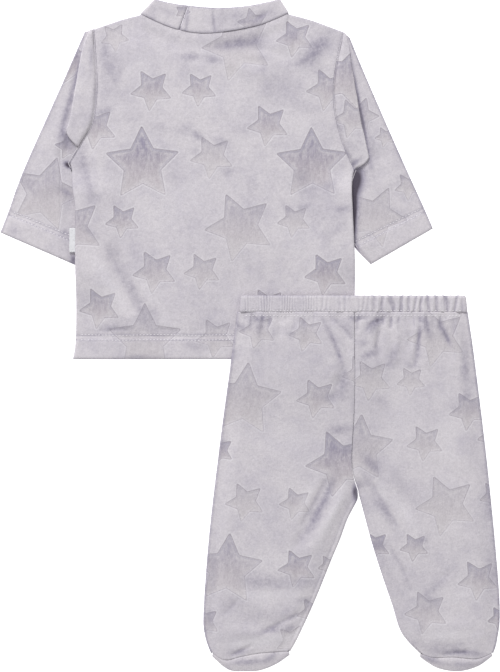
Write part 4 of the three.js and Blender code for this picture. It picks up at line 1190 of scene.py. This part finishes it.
# %% A sleeve
def sleeve(name, outer_rows, inner_rows, armhole_rows, flap, stars, flap_stars, marks, flap_shade_and_nap):
    away = math.copysign(1, outer_rows.across[0])
    armhole, outer, inner = edge(armhole_rows), edge(outer_rows), edge(inner_rows)
    below = np.linalg.norm(inner(1) - inner(0))
    underarm = ARMHOLE_LONG / (ARMHOLE_LONG + below)
    v = np.concatenate([np.linspace(0, underarm, 112), np.linspace(underarm, 1, 76)[1:]])
    down = v / underarm
    parted = smooth(v, underarm - 0.001, underarm + 0.02)
    beside = away * (0.1 + 0 * down)
    open_line = armhole(np.clip(1 - down, 0, 1)) + np.stack([beside, 0 * beside], axis=-1)
    from_line = np.where((v > underarm)[:, None], inner((v - underarm) / (1 - underarm)), open_line)
    to_line = outer(v)
    width = np.interp(down, flap.share, flap.width)
    strong = smooth(width, 1.2, 5)[:, None]
    flap_count, turn_count, main_count = 22, 7, 74

    def upper(reach):
        W = np.minimum(width, reach * 0.75)[:, None]
        R = reach[:, None]
        back_run = np.minimum(4.5, W * 0.5)
        flat = mix(2, W, np.linspace(0.03, 1, flap_count)[None])
        flat_h = TUCK_HEIGHT * strong * smooth(flat, -1.5, np.minimum(5, W * 0.7))
        turn = np.linspace(0, math.pi, turn_count + 1)[None, 1:]
        first = (0.62, TUCK_HEIGHT - 0.62)
        second = (0.5, TUCK_HEIGHT - 1.24 - 0.5)
        edge_off = W + first[0] * np.sin(turn)
        edge_h = first[1] + first[0] * np.cos(turn)
        under_off = W - back_run * np.linspace(0.15, 1, 5)[None]
        under_h = np.full((1, 5), TUCK_HEIGHT - 1.24)
        next_off = W - back_run - second[0] * np.sin(turn)
        next_h = second[1] * np.ones_like(turn) + second[0] * np.cos(turn)
        next_h = next_h * np.linspace(1, 0, turn_count)[None] ** 0.5
        folded_off = np.concatenate([edge_off, under_off, next_off], axis=1)
        folded_h = np.concatenate(
            [np.broadcast_to(edge_h, edge_off.shape), np.broadcast_to(under_h, under_off.shape),
             np.broadcast_to(next_h, next_off.shape)], axis=1) * strong
        count = folded_off.shape[1]
        opened = W + np.linspace(0.2, 2.4, count)[None]
        between = mix(opened, folded_off, strong)
        start = between[:, -1:]
        main = mix(start, R, np.linspace(0, 1, main_count + 1)[None, 1:-1])
        return (
            np.concatenate([flat, between, main], axis=1),
            np.concatenate([flat_h, folded_h, 0 * main], axis=1),
        )

    def lower(reach):
        return mix(reach[:, None], 0.6, np.linspace(0, 1, 62)[None, 1:])

    def at(share):
        return mix(from_line[:, None], to_line[:, None], share[..., None])

    def form(p, from_inner, from_outer, is_upper):
        x, y = p[..., 0], p[..., 1]
        D, V = np.broadcast_to(down[:, None], x.shape), np.broadcast_to(v[:, None], x.shape)
        P = parted[:, None]
        seam_rise = armhole_puff(1 - D) * (1 - P)
        full = SLEEVE_PUFF * smooth(from_outer, 1.1, 22)
        rise = mix(seam_rise, full, smooth(from_inner, 1.8, 20)) * smooth(from_outer, 1.1, 5)
        in_flap = np.zeros(x.shape)
        in_flap[:, : 5 + flap_count + 5] = 1
        use = (in_flap * strong) > 0.5
        star, tone, brow = (
            np.where(use, a, b) for a, b in zip(star_field(flap_stars, x, y), star_field(stars, x, y))
        )
        from_edge = np.minimum(from_inner, from_outer)
        end = (1 - V) * SLEEVE_LONG
        hem = HEM_EXTRA * (1 - smooth(end, HEM_DEPTH - 1, HEM_DEPTH + 1)) * smooth(from_edge, 1.2, 4)
        hem = hem - 0.7 * (1 - smooth(end, 0, 2)) ** 2
        rows = bell(end - HEM_DEPTH + 0.5, 0.6) + bell(end - HEM_DEPTH - 3.6, 0.6)
        crease = crease_height(SLEEVE_CREASES, x, y) * smooth(from_edge, 1.5, 9) * (1 - in_flap * strong)
        seam = -0.3 * bell(from_inner, 1.7) * (1 - P)
        relief = (hem - 0.35 * rows + seam + np.maximum(crease, 0)) * is_upper
        relief = relief + star_relief(star) * smooth(from_edge, 0.5, 3)
        # Painted shade: darker along the cuff's stitch rows, at the cuff's end and at both folds of the sleeve.
        shade_highlight_and_nap = np.where(use, patches(flap_shade_and_nap, x, y), patches(marks, x, y)) + 0.8 * rows
        shade_highlight_and_nap = (shade_highlight_and_nap + 0.4 * bell(end, 0.9)) * is_upper
        shade_highlight_and_nap = shade_highlight_and_nap + 0.8 * bell(from_outer, 1.2) + 0.4 * bell(from_inner, 1.2)
        fields = {"star": star, "tone": tone, "brow": brow, "shade_highlight_and_nap": shade_highlight_and_nap}
        return 0, rise + np.minimum(crease, 0), relief + seam_groove(x, y, from_inner) * is_upper, fields

    middle, relief, fields = tube(
        away, from_line, to_line, parted, 0 * v, upper, lower, at, at, form,
    )
    return cloth(name, middle, CLOTH, relief, fields, flip=away > 0)

# %% [markdown]
# Both sleeves come from the same cut. Only their outlines, folds and stars differ.

# %% Both sleeves
sleeve_left = sleeve(
    "sleeve_left", LEFT_SLEEVE_OUTER, LEFT_SLEEVE_INNER, LEFT_ARMHOLE, LEFT_FLAP,
    LEFT_SLEEVE_STARS, NO_STARS, LEFT_SLEEVE_SHADE_AND_NAP, LEFT_FLAP_SHADE_AND_NAP,
)
sleeve_right = sleeve(
    "sleeve_right", RIGHT_SLEEVE_OUTER, RIGHT_SLEEVE_INNER, RIGHT_ARMHOLE, RIGHT_FLAP,
    RIGHT_SLEEVE_STARS, RIGHT_FLAP_STARS, RIGHT_SLEEVE_SHADE_AND_NAP, RIGHT_FLAP_SHADE_AND_NAP,
)

# %% [markdown]
# ## The collar
#
# The collar is one strip of doubled cloth. It starts at its seam on the back, runs round
# the left fold, along the front under the back, and round the right fold to the seam.

# %% Collar
def collar():
    back_low, back_high = edge(BACK_NECK), edge(BACK_COLLAR_TOP)
    front_low, front_high = edge(FRONT_NECK), edge(FRONT_COLLAR_TOP)
    radius = (BAND + 0.9) / 2
    raised = BAND / 2 + 2 * radius
    gap, fold = SEAM_GAP / 2 / 110, radius / 105
    turn = np.linspace(0, 1, 9)[1:-1]
    sections = [
        (np.linspace(COLLAR_SEAM - gap, fold, 34), None, 1.0),
        (fold * (1 - np.sin(turn * math.pi)), turn, None),
        (np.linspace(fold, 1 - fold, 84), None, 0.0),
        (1 - fold * (1 - np.sin(turn * math.pi)), 1 - turn, None),
        (np.linspace(1 - fold, COLLAR_SEAM + gap, 80), None, 1.0),
    ]
    share, blend, z = [], [], []
    for shares, turned, flat in sections:
        share.append(shares)
        blend.append(turned if flat is None else np.full(len(shares), 1 - flat))
        z.append(BAND / 2 + radius * (1 + np.cos(turned * math.pi)) if flat is None
                 else np.full(len(shares), raised if flat else BAND / 2))
    share, blend, z = map(np.concatenate, (share, blend, z))
    v = np.concatenate([[0, 0.02, 0.05], np.linspace(0.09, 0.93, 26), [0.96, 0.985, 1]])
    rows = []
    for step in v:
        spots = []
        for low, high in ((back_low, back_high), (front_low, front_high)):
            base, up = low(share), high(share) - low(share)
            long = np.linalg.norm(up, axis=1, keepdims=True)
            spots.append(base + up * (0.3 + step * (long - 0.3)) / long)
        p = mix(spots[0], spots[1], blend[:, None])
        rows.append(np.column_stack([p, z]))
    middle = np.array(rows)
    x, y = middle[..., 0], middle[..., 1]
    upper = (middle[..., 2] > raised - 0.5) * 1.0
    stars = table("x y size turn tone", [(-29, 311, 7, 20, 0.6), (34, 301, 14, -14, 0.5)])
    star, tone, brow = star_field(stars, x, y)
    star = np.where(upper > 0, star, 60)
    creases = table("x1 y1 x2 y2 width height", [
        (-1, 312, -0.5, 293, 2, -0.5),
        (34, 304, 47, 310, 3, -0.5),
        (-45, 316, -40, 300, 5, -0.25),
        (-14, 313, -12, 296, 5, 0.25),
        (20, 313, 24, 298, 5, 0.25),
    ])
    V = np.broadcast_to(v[:, None], x.shape)
    from_seam = np.minimum(np.arange(len(share)), np.arange(len(share))[::-1])[None] * 1.0
    crease = crease_height(creases, x, y) * upper
    roll = -0.3 * (1 - smooth(V, 0, 0.1)) ** 2 - 0.75 * smooth(V, 0.9, 1) ** 2
    joint = -0.6 * bell(from_seam, 1.3)
    relief = crease + roll + joint * upper + star_relief(star) * 0.6 * upper
    # Ovals of painted shade in the collar's creases and of brushed nap.
    collar_shade_and_nap = table("x y long wide tilt strength", [
        (-25.2, 302, 11, 1.6, 84, 0.8),
        (-31, 315, 3.4, 3, 0, 0.5),
        (-1, 301, 11, 1.5, -84, 0.8),
        (6, 305, 6, 8, 0, 0.3),
        (22, 307, 12, 5, 0, 0.4),
        (41, 306, 9, 3, 38, 0.8),
        (26, 302, 8, 2, 10, 0.6),
        (52, 309, 5, 6, 40, 0.35),
        (-58, 309, 6, 4, 50, 0.35),
        (-44, 312, 12, 3, -18, 0.25),
    ])
    # Painted shade: darker at the collar's seam ends, where it rolls down at the neck, and along its upper fold.
    shade_highlight_and_nap = 0.6 * bell(from_seam, 1.2) + 0.5 * bell(V * 22, 1.6)
    shade_highlight_and_nap = (shade_highlight_and_nap + patches(collar_shade_and_nap, x, y) + 0.8 * bell((1 - V) * 22, 1.2)) * upper
    fields = {"star": star, "tone": tone, "brow": brow, "shade_highlight_and_nap": shade_highlight_and_nap}
    return cloth("collar", middle, BAND, relief, fields, flip=True)


collar_piece = collar()

# %% [markdown]
# ## The trousers
#
# Each leg is one piece, from the centre seam on the back round the outer fold to the
# centre seam on the front. The elastic in the waist gathers the cloth, and its gathers
# run down into the legs and fade. The crotch pulls the longest creases, aslant down the
# inside of each leg.

# %% Legs
GATHER_RNG = np.random.default_rng(7)
GATHERS = table("x1 y1 x2 y2 width height", [
    (x, -12, x + lean, -12 - long, wide, high)
    for x, lean, long, wide, high in zip(
        np.concatenate([np.arange(-98, -34, 4.1), np.arange(-30, 24, 8.5), np.arange(28, 99, 6.3)]),
        GATHER_RNG.uniform(-2, 2, 80),
        GATHER_RNG.uniform(7, 20, 80),
        GATHER_RNG.uniform(1.5, 2.8, 80),
        GATHER_RNG.uniform(-0.75, -0.3, 80),
    )
])


def leg(name, inner_rows, outer_rows, foot_rows, stars, away):
    inner = chain([edge(CENTRE_SEAM), edge(inner_rows)], [CROTCH_SHARE, 1])
    outer = edge(outer_rows)
    foot = edge(foot_rows)

    def between(share):
        return lambda w: mix(inner(share), outer(share), np.asarray(w, float)[..., None])

    foot_line = (lambda w: foot(1 - np.asarray(w))) if away < 0 else foot
    upper_plan = cut_piece(between(0), foot_line, inner, outer)
    lower_plan = cut_piece(between(0), between(1), inner, outer)
    v = np.concatenate([
        np.linspace(0, CROTCH_SHARE - 0.004, 118), np.linspace(CROTCH_SHARE + 0.001, 1, 116),
    ])
    parted = smooth(v, CROTCH_SHARE - 0.002, CROTCH_SHARE + 0.016)
    gap = SEAM_GAP / 2 + 0.05 + 0.15 * smooth(v, 0.46, CROTCH_SHARE - 0.004)
    V1 = v[:, None]
    columns = 78

    def upper(reach):
        off = mix(1.9, reach[:, None], np.linspace(0, 1, columns + 2)[None, 1:-1])
        return off, 0 * off

    def lower(reach):
        return mix(reach[:, None], 0.8, np.linspace(0, 1, 62)[None, 1:])

    def form(p, from_inner, from_outer, is_upper):
        x, y = p[..., 0], p[..., 1]
        V = np.broadcast_to(V1, x.shape)
        near_inner = mix(1, smooth(from_inner, 1.9, 18), smooth(V, CROTCH_SHARE - 0.06, CROTCH_SHARE))
        inside = near_inner * smooth(from_outer, 1.5, 18)
        ends = mix(0.64, 1, smooth(V, 0, 0.06)) * mix(1, 0.25, smooth(V, 0.92, 1))
        base = trouser_lift(x, y)
        crease = crease_height(TROUSER_CREASES, x, y) * inside
        puff = LEG_PUFF * inside * ends * mix(1, 0.7, base / TOP_PRESSED)
        fine = crease_height(FINE_TROUSER_CREASES, x, y) + crease_height(GATHERS, x, y)
        fine = fine * smooth(from_outer, 1.5, 6) * mix(0.25, 1, smooth(-y, 14, 20))
        star, tone, brow = star_field(stars, x, y)
        from_edge = np.minimum(from_inner, from_outer)
        seam = -0.35 * bell(from_inner - 0.2, 1.5) * (1 - parted[:, None])
        length = (1 - V) * LEG_LONG
        sole_seam = -0.15 * bell(length, 1.8)
        groove = 0.0
        if away < 0:
            groove = -0.45 * bell(from_inner - 4.5, 0.8) * parted[:, None] * smooth(length, 4, 20)
        relief = (np.maximum(crease, 0) + np.maximum(fine, -1.0) + seam + sole_seam + groove) * is_upper
        relief = relief + star_relief(star) * smooth(from_edge, 0.5, 3)
        # Painted shade: darker along the centre seam, in the troughs of the fine creases and gathers, in the left
        # leg's groove, and at the folds.
        shade_highlight_and_nap = 0.2 * bell(from_inner - 0.2, 0.9) * (1 - parted[:, None])
        shade_highlight_and_nap = shade_highlight_and_nap + patches(TROUSER_SHADE_HIGHLIGHT_AND_NAP, x, y) + 0.8 * np.maximum(-fine - 0.25, 0)
        shade_highlight_and_nap = (shade_highlight_and_nap - 0.8 * groove) * is_upper + 0.75 * bell(from_outer, 1.4)
        shade_highlight_and_nap = shade_highlight_and_nap + 0.5 * bell(from_inner, 1.2) * parted[:, None]
        fields = {"star": star, "tone": tone, "brow": brow, "shade_highlight_and_nap": shade_highlight_and_nap}
        return base, puff + np.minimum(crease, 0), relief, fields

    middle, relief, fields = tube(
        away, inner(v), outer(v), parted, gap, upper, lower,
        lambda w: upper_plan(w, np.broadcast_to(V1, w.shape)),
        lambda w: lower_plan(w, np.broadcast_to(V1, w.shape)), form,
    )
    return cloth(name, middle, CLOTH, relief, fields, flip=away > 0, place=TROUSER_PLACE)


leg_left = leg("leg_left", LEFT_LEG_INNER, LEFT_LEG_OUTER, LEFT_FOOT_SEAM, LEFT_LEG_STARS, -1)
leg_right = leg("leg_right", RIGHT_LEG_INNER, RIGHT_LEG_OUTER, RIGHT_FOOT_SEAM, RIGHT_LEG_STARS, 1)

# %% [markdown]
# The waistband is a ring of doubled cloth over elastic. Its waves are uneven: fine
# ripples on the left, almost none in the middle, and coarse ones on the right.

# %% Waistband
def waistband():
    radius = (BAND + 0.5) / 2
    fold = radius / 200.8
    turn = np.linspace(0, 1, 9)[1:-1]
    upper = np.linspace(fold, 1 - fold, 330)
    lower = np.linspace(1 - fold, fold, 120)
    share = np.concatenate([
        upper, 1 - fold + fold * np.sin(turn * math.pi), lower, fold - fold * np.sin(turn * math.pi),
    ])
    h = np.concatenate([
        np.full(330, 2 * radius), radius * (1 + np.cos(turn * math.pi)), np.zeros(120),
        radius * (1 + np.cos((1 - turn) * math.pi)),
    ])
    v = np.concatenate([[0, 0.03, 0.08, 0.14], np.linspace(0.2, 0.86, 12), [0.92, 0.97, 1.05]])
    S, V = np.meshgrid(share, v)
    # The rows run upwards from the seam, so that the face that shows is the outer one.
    V = V[::-1]
    x = mix(mix(-100.4, 100.4, S), mix(-101.6, 101.9, S), V)
    y = (1 - V) * (0.9 + 0.35 * np.sin(x * 0.88) * smooth(x, 0, 30)) - V * WAIST_DEPTH
    top = np.zeros(S.shape)
    top[:, :330] = 1
    drift = 0.9 * np.sin(V * 2.1 + S * 31) + 0.5 * np.sin(V * 4 + S * 77)
    fine = np.sin(x * 2 * math.pi / 2.35 + drift) * (0.5 + 0.5 * np.sin(x * 0.31 + 1.1))
    coarse = np.sin(x * 2 * math.pi / 7.1 + drift + 1.3 * np.sin(x * 0.11))
    middle_wave = np.sin(x * 2 * math.pi / 4.6 + drift) * np.sin(x * 0.17)
    on_left, on_right = 1 - smooth(x, -46, -26), smooth(x, 8, 30)
    wave = 0.42 * fine * on_left + 0.55 * coarse * on_right
    wave = wave + 0.2 * middle_wave * (1 - on_left) * (1 - on_right)
    wave = wave + 0.14 * fine * on_right
    ends = smooth(np.minimum(S, 1 - S), fold, 0.025)
    roll = -0.35 * smooth(V, 0.85, 1.03) - 0.95 * (1 - smooth(V, 0, 0.16)) ** 2
    relief = (wave * ends * smooth(V, 0.0, 0.2)) * top + roll
    z = BAND / 2 + trouser_lift(x, y) + h
    middle = np.dstack([x, y, z])
    # Painted shade in the troughs of the gathers and painted highlight on their crests, with painted shade along
    # the band's upper edge.
    shade_highlight_and_nap = 0.6 * np.clip(-wave / 0.45, -0.35, 1) * top * ends + 0.5 * bell(V * WAIST_DEPTH, 0.9)
    return cloth("waistband", middle, BAND, relief, {"shade_highlight_and_nap": shade_highlight_and_nap}, ring=True, place=TROUSER_PLACE)


waist = waistband()

# %% [markdown]
# The foot pieces close the ends of the legs: each is a narrow cap from the seam on the
# upper side, round the end of the foot, to the seam on the lower side.

# %% Foot pieces
def sole(name, foot_rows, end_rows):
    seam, end = edge(foot_rows), edge(end_rows)
    s = np.linspace(0.015, 0.985, 74)
    on_seam, to = seam(s), end(s)
    under = mix(seam(0), seam(1), s[:, None])
    span = np.minimum(np.linalg.norm(to - on_seam, axis=1), np.linalg.norm(to - under, axis=1))
    fold = (np.minimum(FOLD_RADIUS, (span - SEAM_GAP) * 0.45) / span)[:, None]
    gap = (0.05 / span)[:, None]
    bulge = 0.7 * np.sin(math.pi * s)[:, None]
    k = np.linspace(0, 1, 9)[None]
    turn = np.linspace(0, 1, 8)[None, 1:-1]

    def place(start, w):
        return start + (to[:, None] - start) * w[..., None]

    upper = place(on_seam[:, None], mix(gap, 1 - fold, k))
    upper_z = UPPER + bulge * (np.sin(math.pi * k) + 0.85 * (1 - k))
    round_start = on_seam[:, None] * (1 - turn[..., None]) + under[:, None] * turn[..., None]
    rounded = place(round_start, 1 - fold + fold * np.sin(turn * math.pi))
    round_z = CLOTH / 2 + FOLD_RADIUS * (1 + np.cos(turn * math.pi)) + 0 * fold
    lower = place(under[:, None], mix(gap, 1 - fold, k[:, ::-1]))
    lower_z = CLOTH / 2 + 0 * bulge * k
    p = np.concatenate([upper, rounded, lower], axis=1)
    z = np.concatenate([upper_z, round_z, lower_z], axis=1)
    roll = np.zeros_like(z)
    roll[:, :3] = [-0.2, -0.1, -0.03]
    x, y = p[..., 0], p[..., 1]
    star, tone, brow = star_field(LEFT_LEG_STARS if x.mean() < 0 else RIGHT_LEG_STARS, x, y)
    shade_highlight_and_nap = patches(TROUSER_SHADE_HIGHLIGHT_AND_NAP, x, y)
    shade_highlight_and_nap[:, 9:] = 0
    fields = {"star": star, "tone": tone, "brow": brow, "shade_highlight_and_nap": shade_highlight_and_nap}
    flip = np.cross(p[30, 0] - p[30, 4], p[34, 4] - p[30, 4]) > 0
    return cloth(name, np.dstack([x, y, z]), CLOTH, roll, fields, flip=bool(flip), place=TROUSER_PLACE)


sole_left = sole("sole_left", LEFT_FOOT_SEAM, LEFT_FOOT_END)
sole_right = sole("sole_right", RIGHT_FOOT_SEAM, RIGHT_FOOT_END)

# %% [markdown]
# ## The side label
#
# A folded tag of white tape is caught in the left side seam. It is left bare. It is two
# layers of tape with a rounded fold at its free edge.

# %% Side label
def side_label():
    across = LEFT_SIDE.across[3] + 0.6
    run = np.concatenate([np.linspace(0, 5.2, 12), 5.2 + 0.42 * np.sin(np.linspace(0, math.pi, 9))[1:-1],
                          np.linspace(5.2, 0, 12)])
    lift = np.concatenate([np.full(12, 0.34), 0.34 * np.cos(np.linspace(0, math.pi, 9))[1:-1],
                           np.full(12, -0.34)])
    y = np.linspace(94.6, 116.4, 30)
    X, Y = np.meshgrid(across - run, y)
    bow = 0.12 * np.sin((Y - 94.6) / 21.8 * math.pi) * np.broadcast_to(run / 5.2, X.shape)
    middle = np.dstack([X, Y, np.broadcast_to(lift, X.shape) + SLEEVE_LIFT + CLOTH - 0.2 + bow])
    out = directions(middle)
    tall, wide = X.shape
    points = np.concatenate([(middle + out * 0.15).reshape(-1, 3), (middle - out * 0.15).reshape(-1, 3)])
    grid = np.arange(tall * wide).reshape(tall, wide)
    border = np.concatenate([grid[0, :-1], grid[:-1, -1], grid[-1, :0:-1], grid[:0:-1, 0]])
    after = np.roll(border, -1)
    faces = np.vstack([
        grid_faces(tall, wide, False, 0), grid_faces(tall, wide, False, tall * wide)[:, ::-1],
        np.stack([border, border + tall * wide, after + tall * wide, after], axis=-1),
    ])
    return add_piece("side_label_tape", points, faces.tolist(), tape, TOP_PLACE, node="side_label")


label = side_label()

# %% [markdown]
# ## Stitches
#
# A hem like this is sewn with two rows of straight stitches about 2.5 mm long, half sunk
# into the pile. Each stitch is a small thread capsule laid on the cloth under it.

# %% One row of stitches
def settle(faces, spots):
    """The height of the cloth's upper face at each spot."""
    cloud = np.concatenate([f.reshape(-1, 3) for f in faces])
    heights = []
    for x, y in spots:
        near = cloud[(np.abs(cloud[:, 0] - x) < 1.6) & (np.abs(cloud[:, 1] - y) < 1.6)]
        weight = 1 / (np.hypot(near[:, 0] - x, near[:, 1] - y) + 0.2) ** 2
        top = near[:, 2] > near[:, 2].max() - 1.2
        heights.append(np.sum(near[top, 2] * weight[top]) / np.sum(weight[top]))
    return np.array(heights)


def stitch_row(line, pitch=3.1, long=2.2):
    """Middles and directions of the stitches along a smooth line of points."""
    run = np.concatenate([[0], np.cumsum(np.hypot(*np.diff(line, axis=0).T))])
    at = np.arange(pitch, run[-1] - pitch / 2, pitch)
    ends = [np.stack([np.interp(at + d, run, line[:, k]) for k in (0, 1)], axis=-1) for d in (-long / 2, long / 2)]
    return (ends[0] + ends[1]) / 2, ends[1] - ends[0]


def stitches(name, rows, faces, place, thick=0.42):
    middles, ways = (np.concatenate(part) for part in zip(*rows))
    heights = settle(faces, middles)
    rings, sides = 5, 8
    a = np.linspace(0, 2 * math.pi, sides, endpoint=False)
    s = np.linspace(-0.98, 0.98, rings)
    r = np.sqrt(1 - np.abs(s) ** 2.6)
    points, faces_out, faces_one = [], [], []
    for i in range(rings - 1):
        for j in range(sides):
            k = (j + 1) % sides
            faces_one.append([i * sides + j, i * sides + k, (i + 1) * sides + k, (i + 1) * sides + j])
    faces_one.append(list(range(sides))[::-1])
    faces_one.append([(rings - 1) * sides + j for j in range(sides)])
    for n, (m, w, z) in enumerate(zip(middles, ways, heights)):
        side = np.array([-w[1], w[0]]) / np.hypot(*w)
        for si, ri in zip(s, r):
            sag = -0.18 * si**2
            for aj in a:
                plan = m + w / 2 * si + side * thick * ri * math.cos(aj)
                points.append((*plan, z + sag + thick * 0.75 * ri * math.sin(aj)))
        faces_out += [[f + n * rings * sides for f in face] for face in faces_one]
    piece = add_piece(name, points, faces_out, thread, place)
    print(f"{name}: {len(middles)} stitches")
    return piece

# %% [markdown]
# The hem's two rows stop where the trousers cover them.

# %% Stitches of the hem
def row_up(height):
    """A line along the hem of the top, this far up."""
    u = np.linspace(0.012, 0.988, 60)
    waist_side = TROUSER_PLACE[0] - 104 - TOP_PLACE[0]
    line = body_plan(BACK_NECK)(u, np.full(60, height / 296))
    line[:, 1] = height + 0.35 * np.sin(line[:, 0] * 0.09)
    return line[line[:, 0] < waist_side + 3]


hem_stitches = stitches(
    "hem_stitches", [stitch_row(row_up(row)) for row in HEM_ROWS], [back.face], TOP_PLACE,
)

# %% [markdown]
# A cuff is sewn like the hem, across the upper layer from fold to seam.

# %% Stitches of the cuffs
def cuff_row(outer_rows, inner_rows, depth):
    outer, inner = edge(outer_rows), edge(inner_rows)
    below = np.linalg.norm(inner(1) - inner(0))
    share_below = 1 - ARMHOLE_LONG / (ARMHOLE_LONG + below)
    start = outer(1 - depth / SLEEVE_LONG)
    stop = inner(1 - depth / (SLEEVE_LONG * share_below))
    return mix(start, stop, np.linspace(0.03, 0.97, 30)[:, None])


cuff_rows = [
    (LEFT_SLEEVE_OUTER, LEFT_SLEEVE_INNER, sleeve_left), (RIGHT_SLEEVE_OUTER, RIGHT_SLEEVE_INNER, sleeve_right),
]
cuffs = [
    stitches(
        f"cuff_stitches_{side}", [stitch_row(cuff_row(o, i, d)) for d in (17.5, 21.6)], [made.face], TOP_PLACE,
    )
    for side, (o, i, made) in zip(("left", "right"), cuff_rows)
]

# %% [markdown]
# At the waist, two rows hold the elastic's casing: one on the band and one on the legs.

# %% Stitches of the waist
def waist_line(drop):
    x = np.linspace(-99.5, 99.5, 90)
    return np.column_stack([x, -drop + 0.3 * np.sin(x * 0.13)])


waist_stitches = stitches(
    "waist_stitches", [stitch_row(waist_line(12.6)), stitch_row(waist_line(17.4))],
    [waist.face, leg_left.face, leg_right.face], TROUSER_PLACE,
)

# %% [markdown]
# ## What each sheet of cloth was
#
# Every piece is a sheet of cloth that was cut flat. The table below lists each with the size
# of its cut, all round where it is a tube, and with what it lies on, and the script prints
# how much of that rectangle each piece's cloth fills.

# %% Sheets
def measured(made):
    """Half of the wall's surface, which is the area of the cloth itself."""
    mesh = made.piece.data
    area = np.zeros(len(mesh.polygons))
    mesh.polygons.foreach_get("area", area)
    return float(area.sum() / 2)


SHEETS = [
    (back, (0.262, 0.318), "laid", ["top_front", "sleeve_left", "sleeve_right"], [hem_stitches]),
    (front, (0.262, 0.318), "laid", ["floor"], []),
    (sleeve_left, (0.150, 0.225), "laid", ["floor"], [cuffs[0]]),
    (sleeve_right, (0.150, 0.225), "laid", ["floor"], [cuffs[1]]),
    (collar_piece, (0.250, 0.031), "laid", ["top_front"], []),
    (leg_left, (0.250, 0.325), "laid", ["floor", "top_back"], []),
    (leg_right, (0.250, 0.325), "laid", ["floor", "top_back"], []),
    (waist, (0.412, 0.0135), "gathered", ["floor", "top_back"], [waist_stitches]),
    (sole_left, (0.072, 0.030), "laid", ["floor"], []),
    (sole_right, (0.072, 0.030), "laid", ["floor"], []),
]
for made, flat, held, on, with_pieces in SHEETS:
    area = measured(made)
    print(f"{made.piece.name}: {area * 1e4:.0f} cm2 of cloth, {area / flat[0] / flat[1]:.2f} of its rectangle")

# %% [markdown]
# ## Table and light
#
# The photograph is a cut-out on white, so the table is simply white. One broad light from
# the upper left shapes the folds, and a white world fills their shadows.

# %% Table and light
floor_mesh = bpy.data.meshes.new("floor")
floor_mesh.from_pydata([(-3, -3, -0.0004), (3, -3, -0.0004), (3, 3, -0.0004), (-3, 3, -0.0004)], [], [(0, 1, 2, 3)])
floor = bpy.data.objects.new("floor", floor_mesh)
scene.collection.objects.link(floor)
white, start, shader = material("white_table")
shader.inputs["Base Color"].default_value = (0.9, 0.9, 0.9, 1)
shader.inputs["Roughness"].default_value = 0.9
shader.inputs["Emission Color"].default_value = (1, 1, 1, 1)
shader.inputs["Emission Strength"].default_value = 0.75
floor_mesh.materials.append(white)

for made, flat, held, on, with_pieces in SHEETS:
    area = measured(made)
    whole = flat[0] * flat[1]


def light(name, place, size, power, colour=(1, 1, 1)):
    made = bpy.data.lights.new(name, "AREA")
    made.size = size
    made.energy = power
    made.color = colour
    lamp = bpy.data.objects.new(name, made)
    lamp.location = place
    lamp.rotation_euler = (-lamp.location).to_track_quat("-Z", "Y").to_euler()
    scene.collection.objects.link(lamp)
    return lamp


# The light comes from above the collar, so each star's upper edge is in shade.
light("key", (-1.1, 3.9, 2.8), 1.7, 172)
light("fill", (-1.2, -0.9, 1.8), 1.6, 5)
world = bpy.data.worlds.new("world")
world.use_nodes = True
world.node_tree.nodes["Background"].inputs["Color"].default_value = (1, 1, 1, 1)
world.node_tree.nodes["Background"].inputs["Strength"].default_value = 0.53
scene.world = world
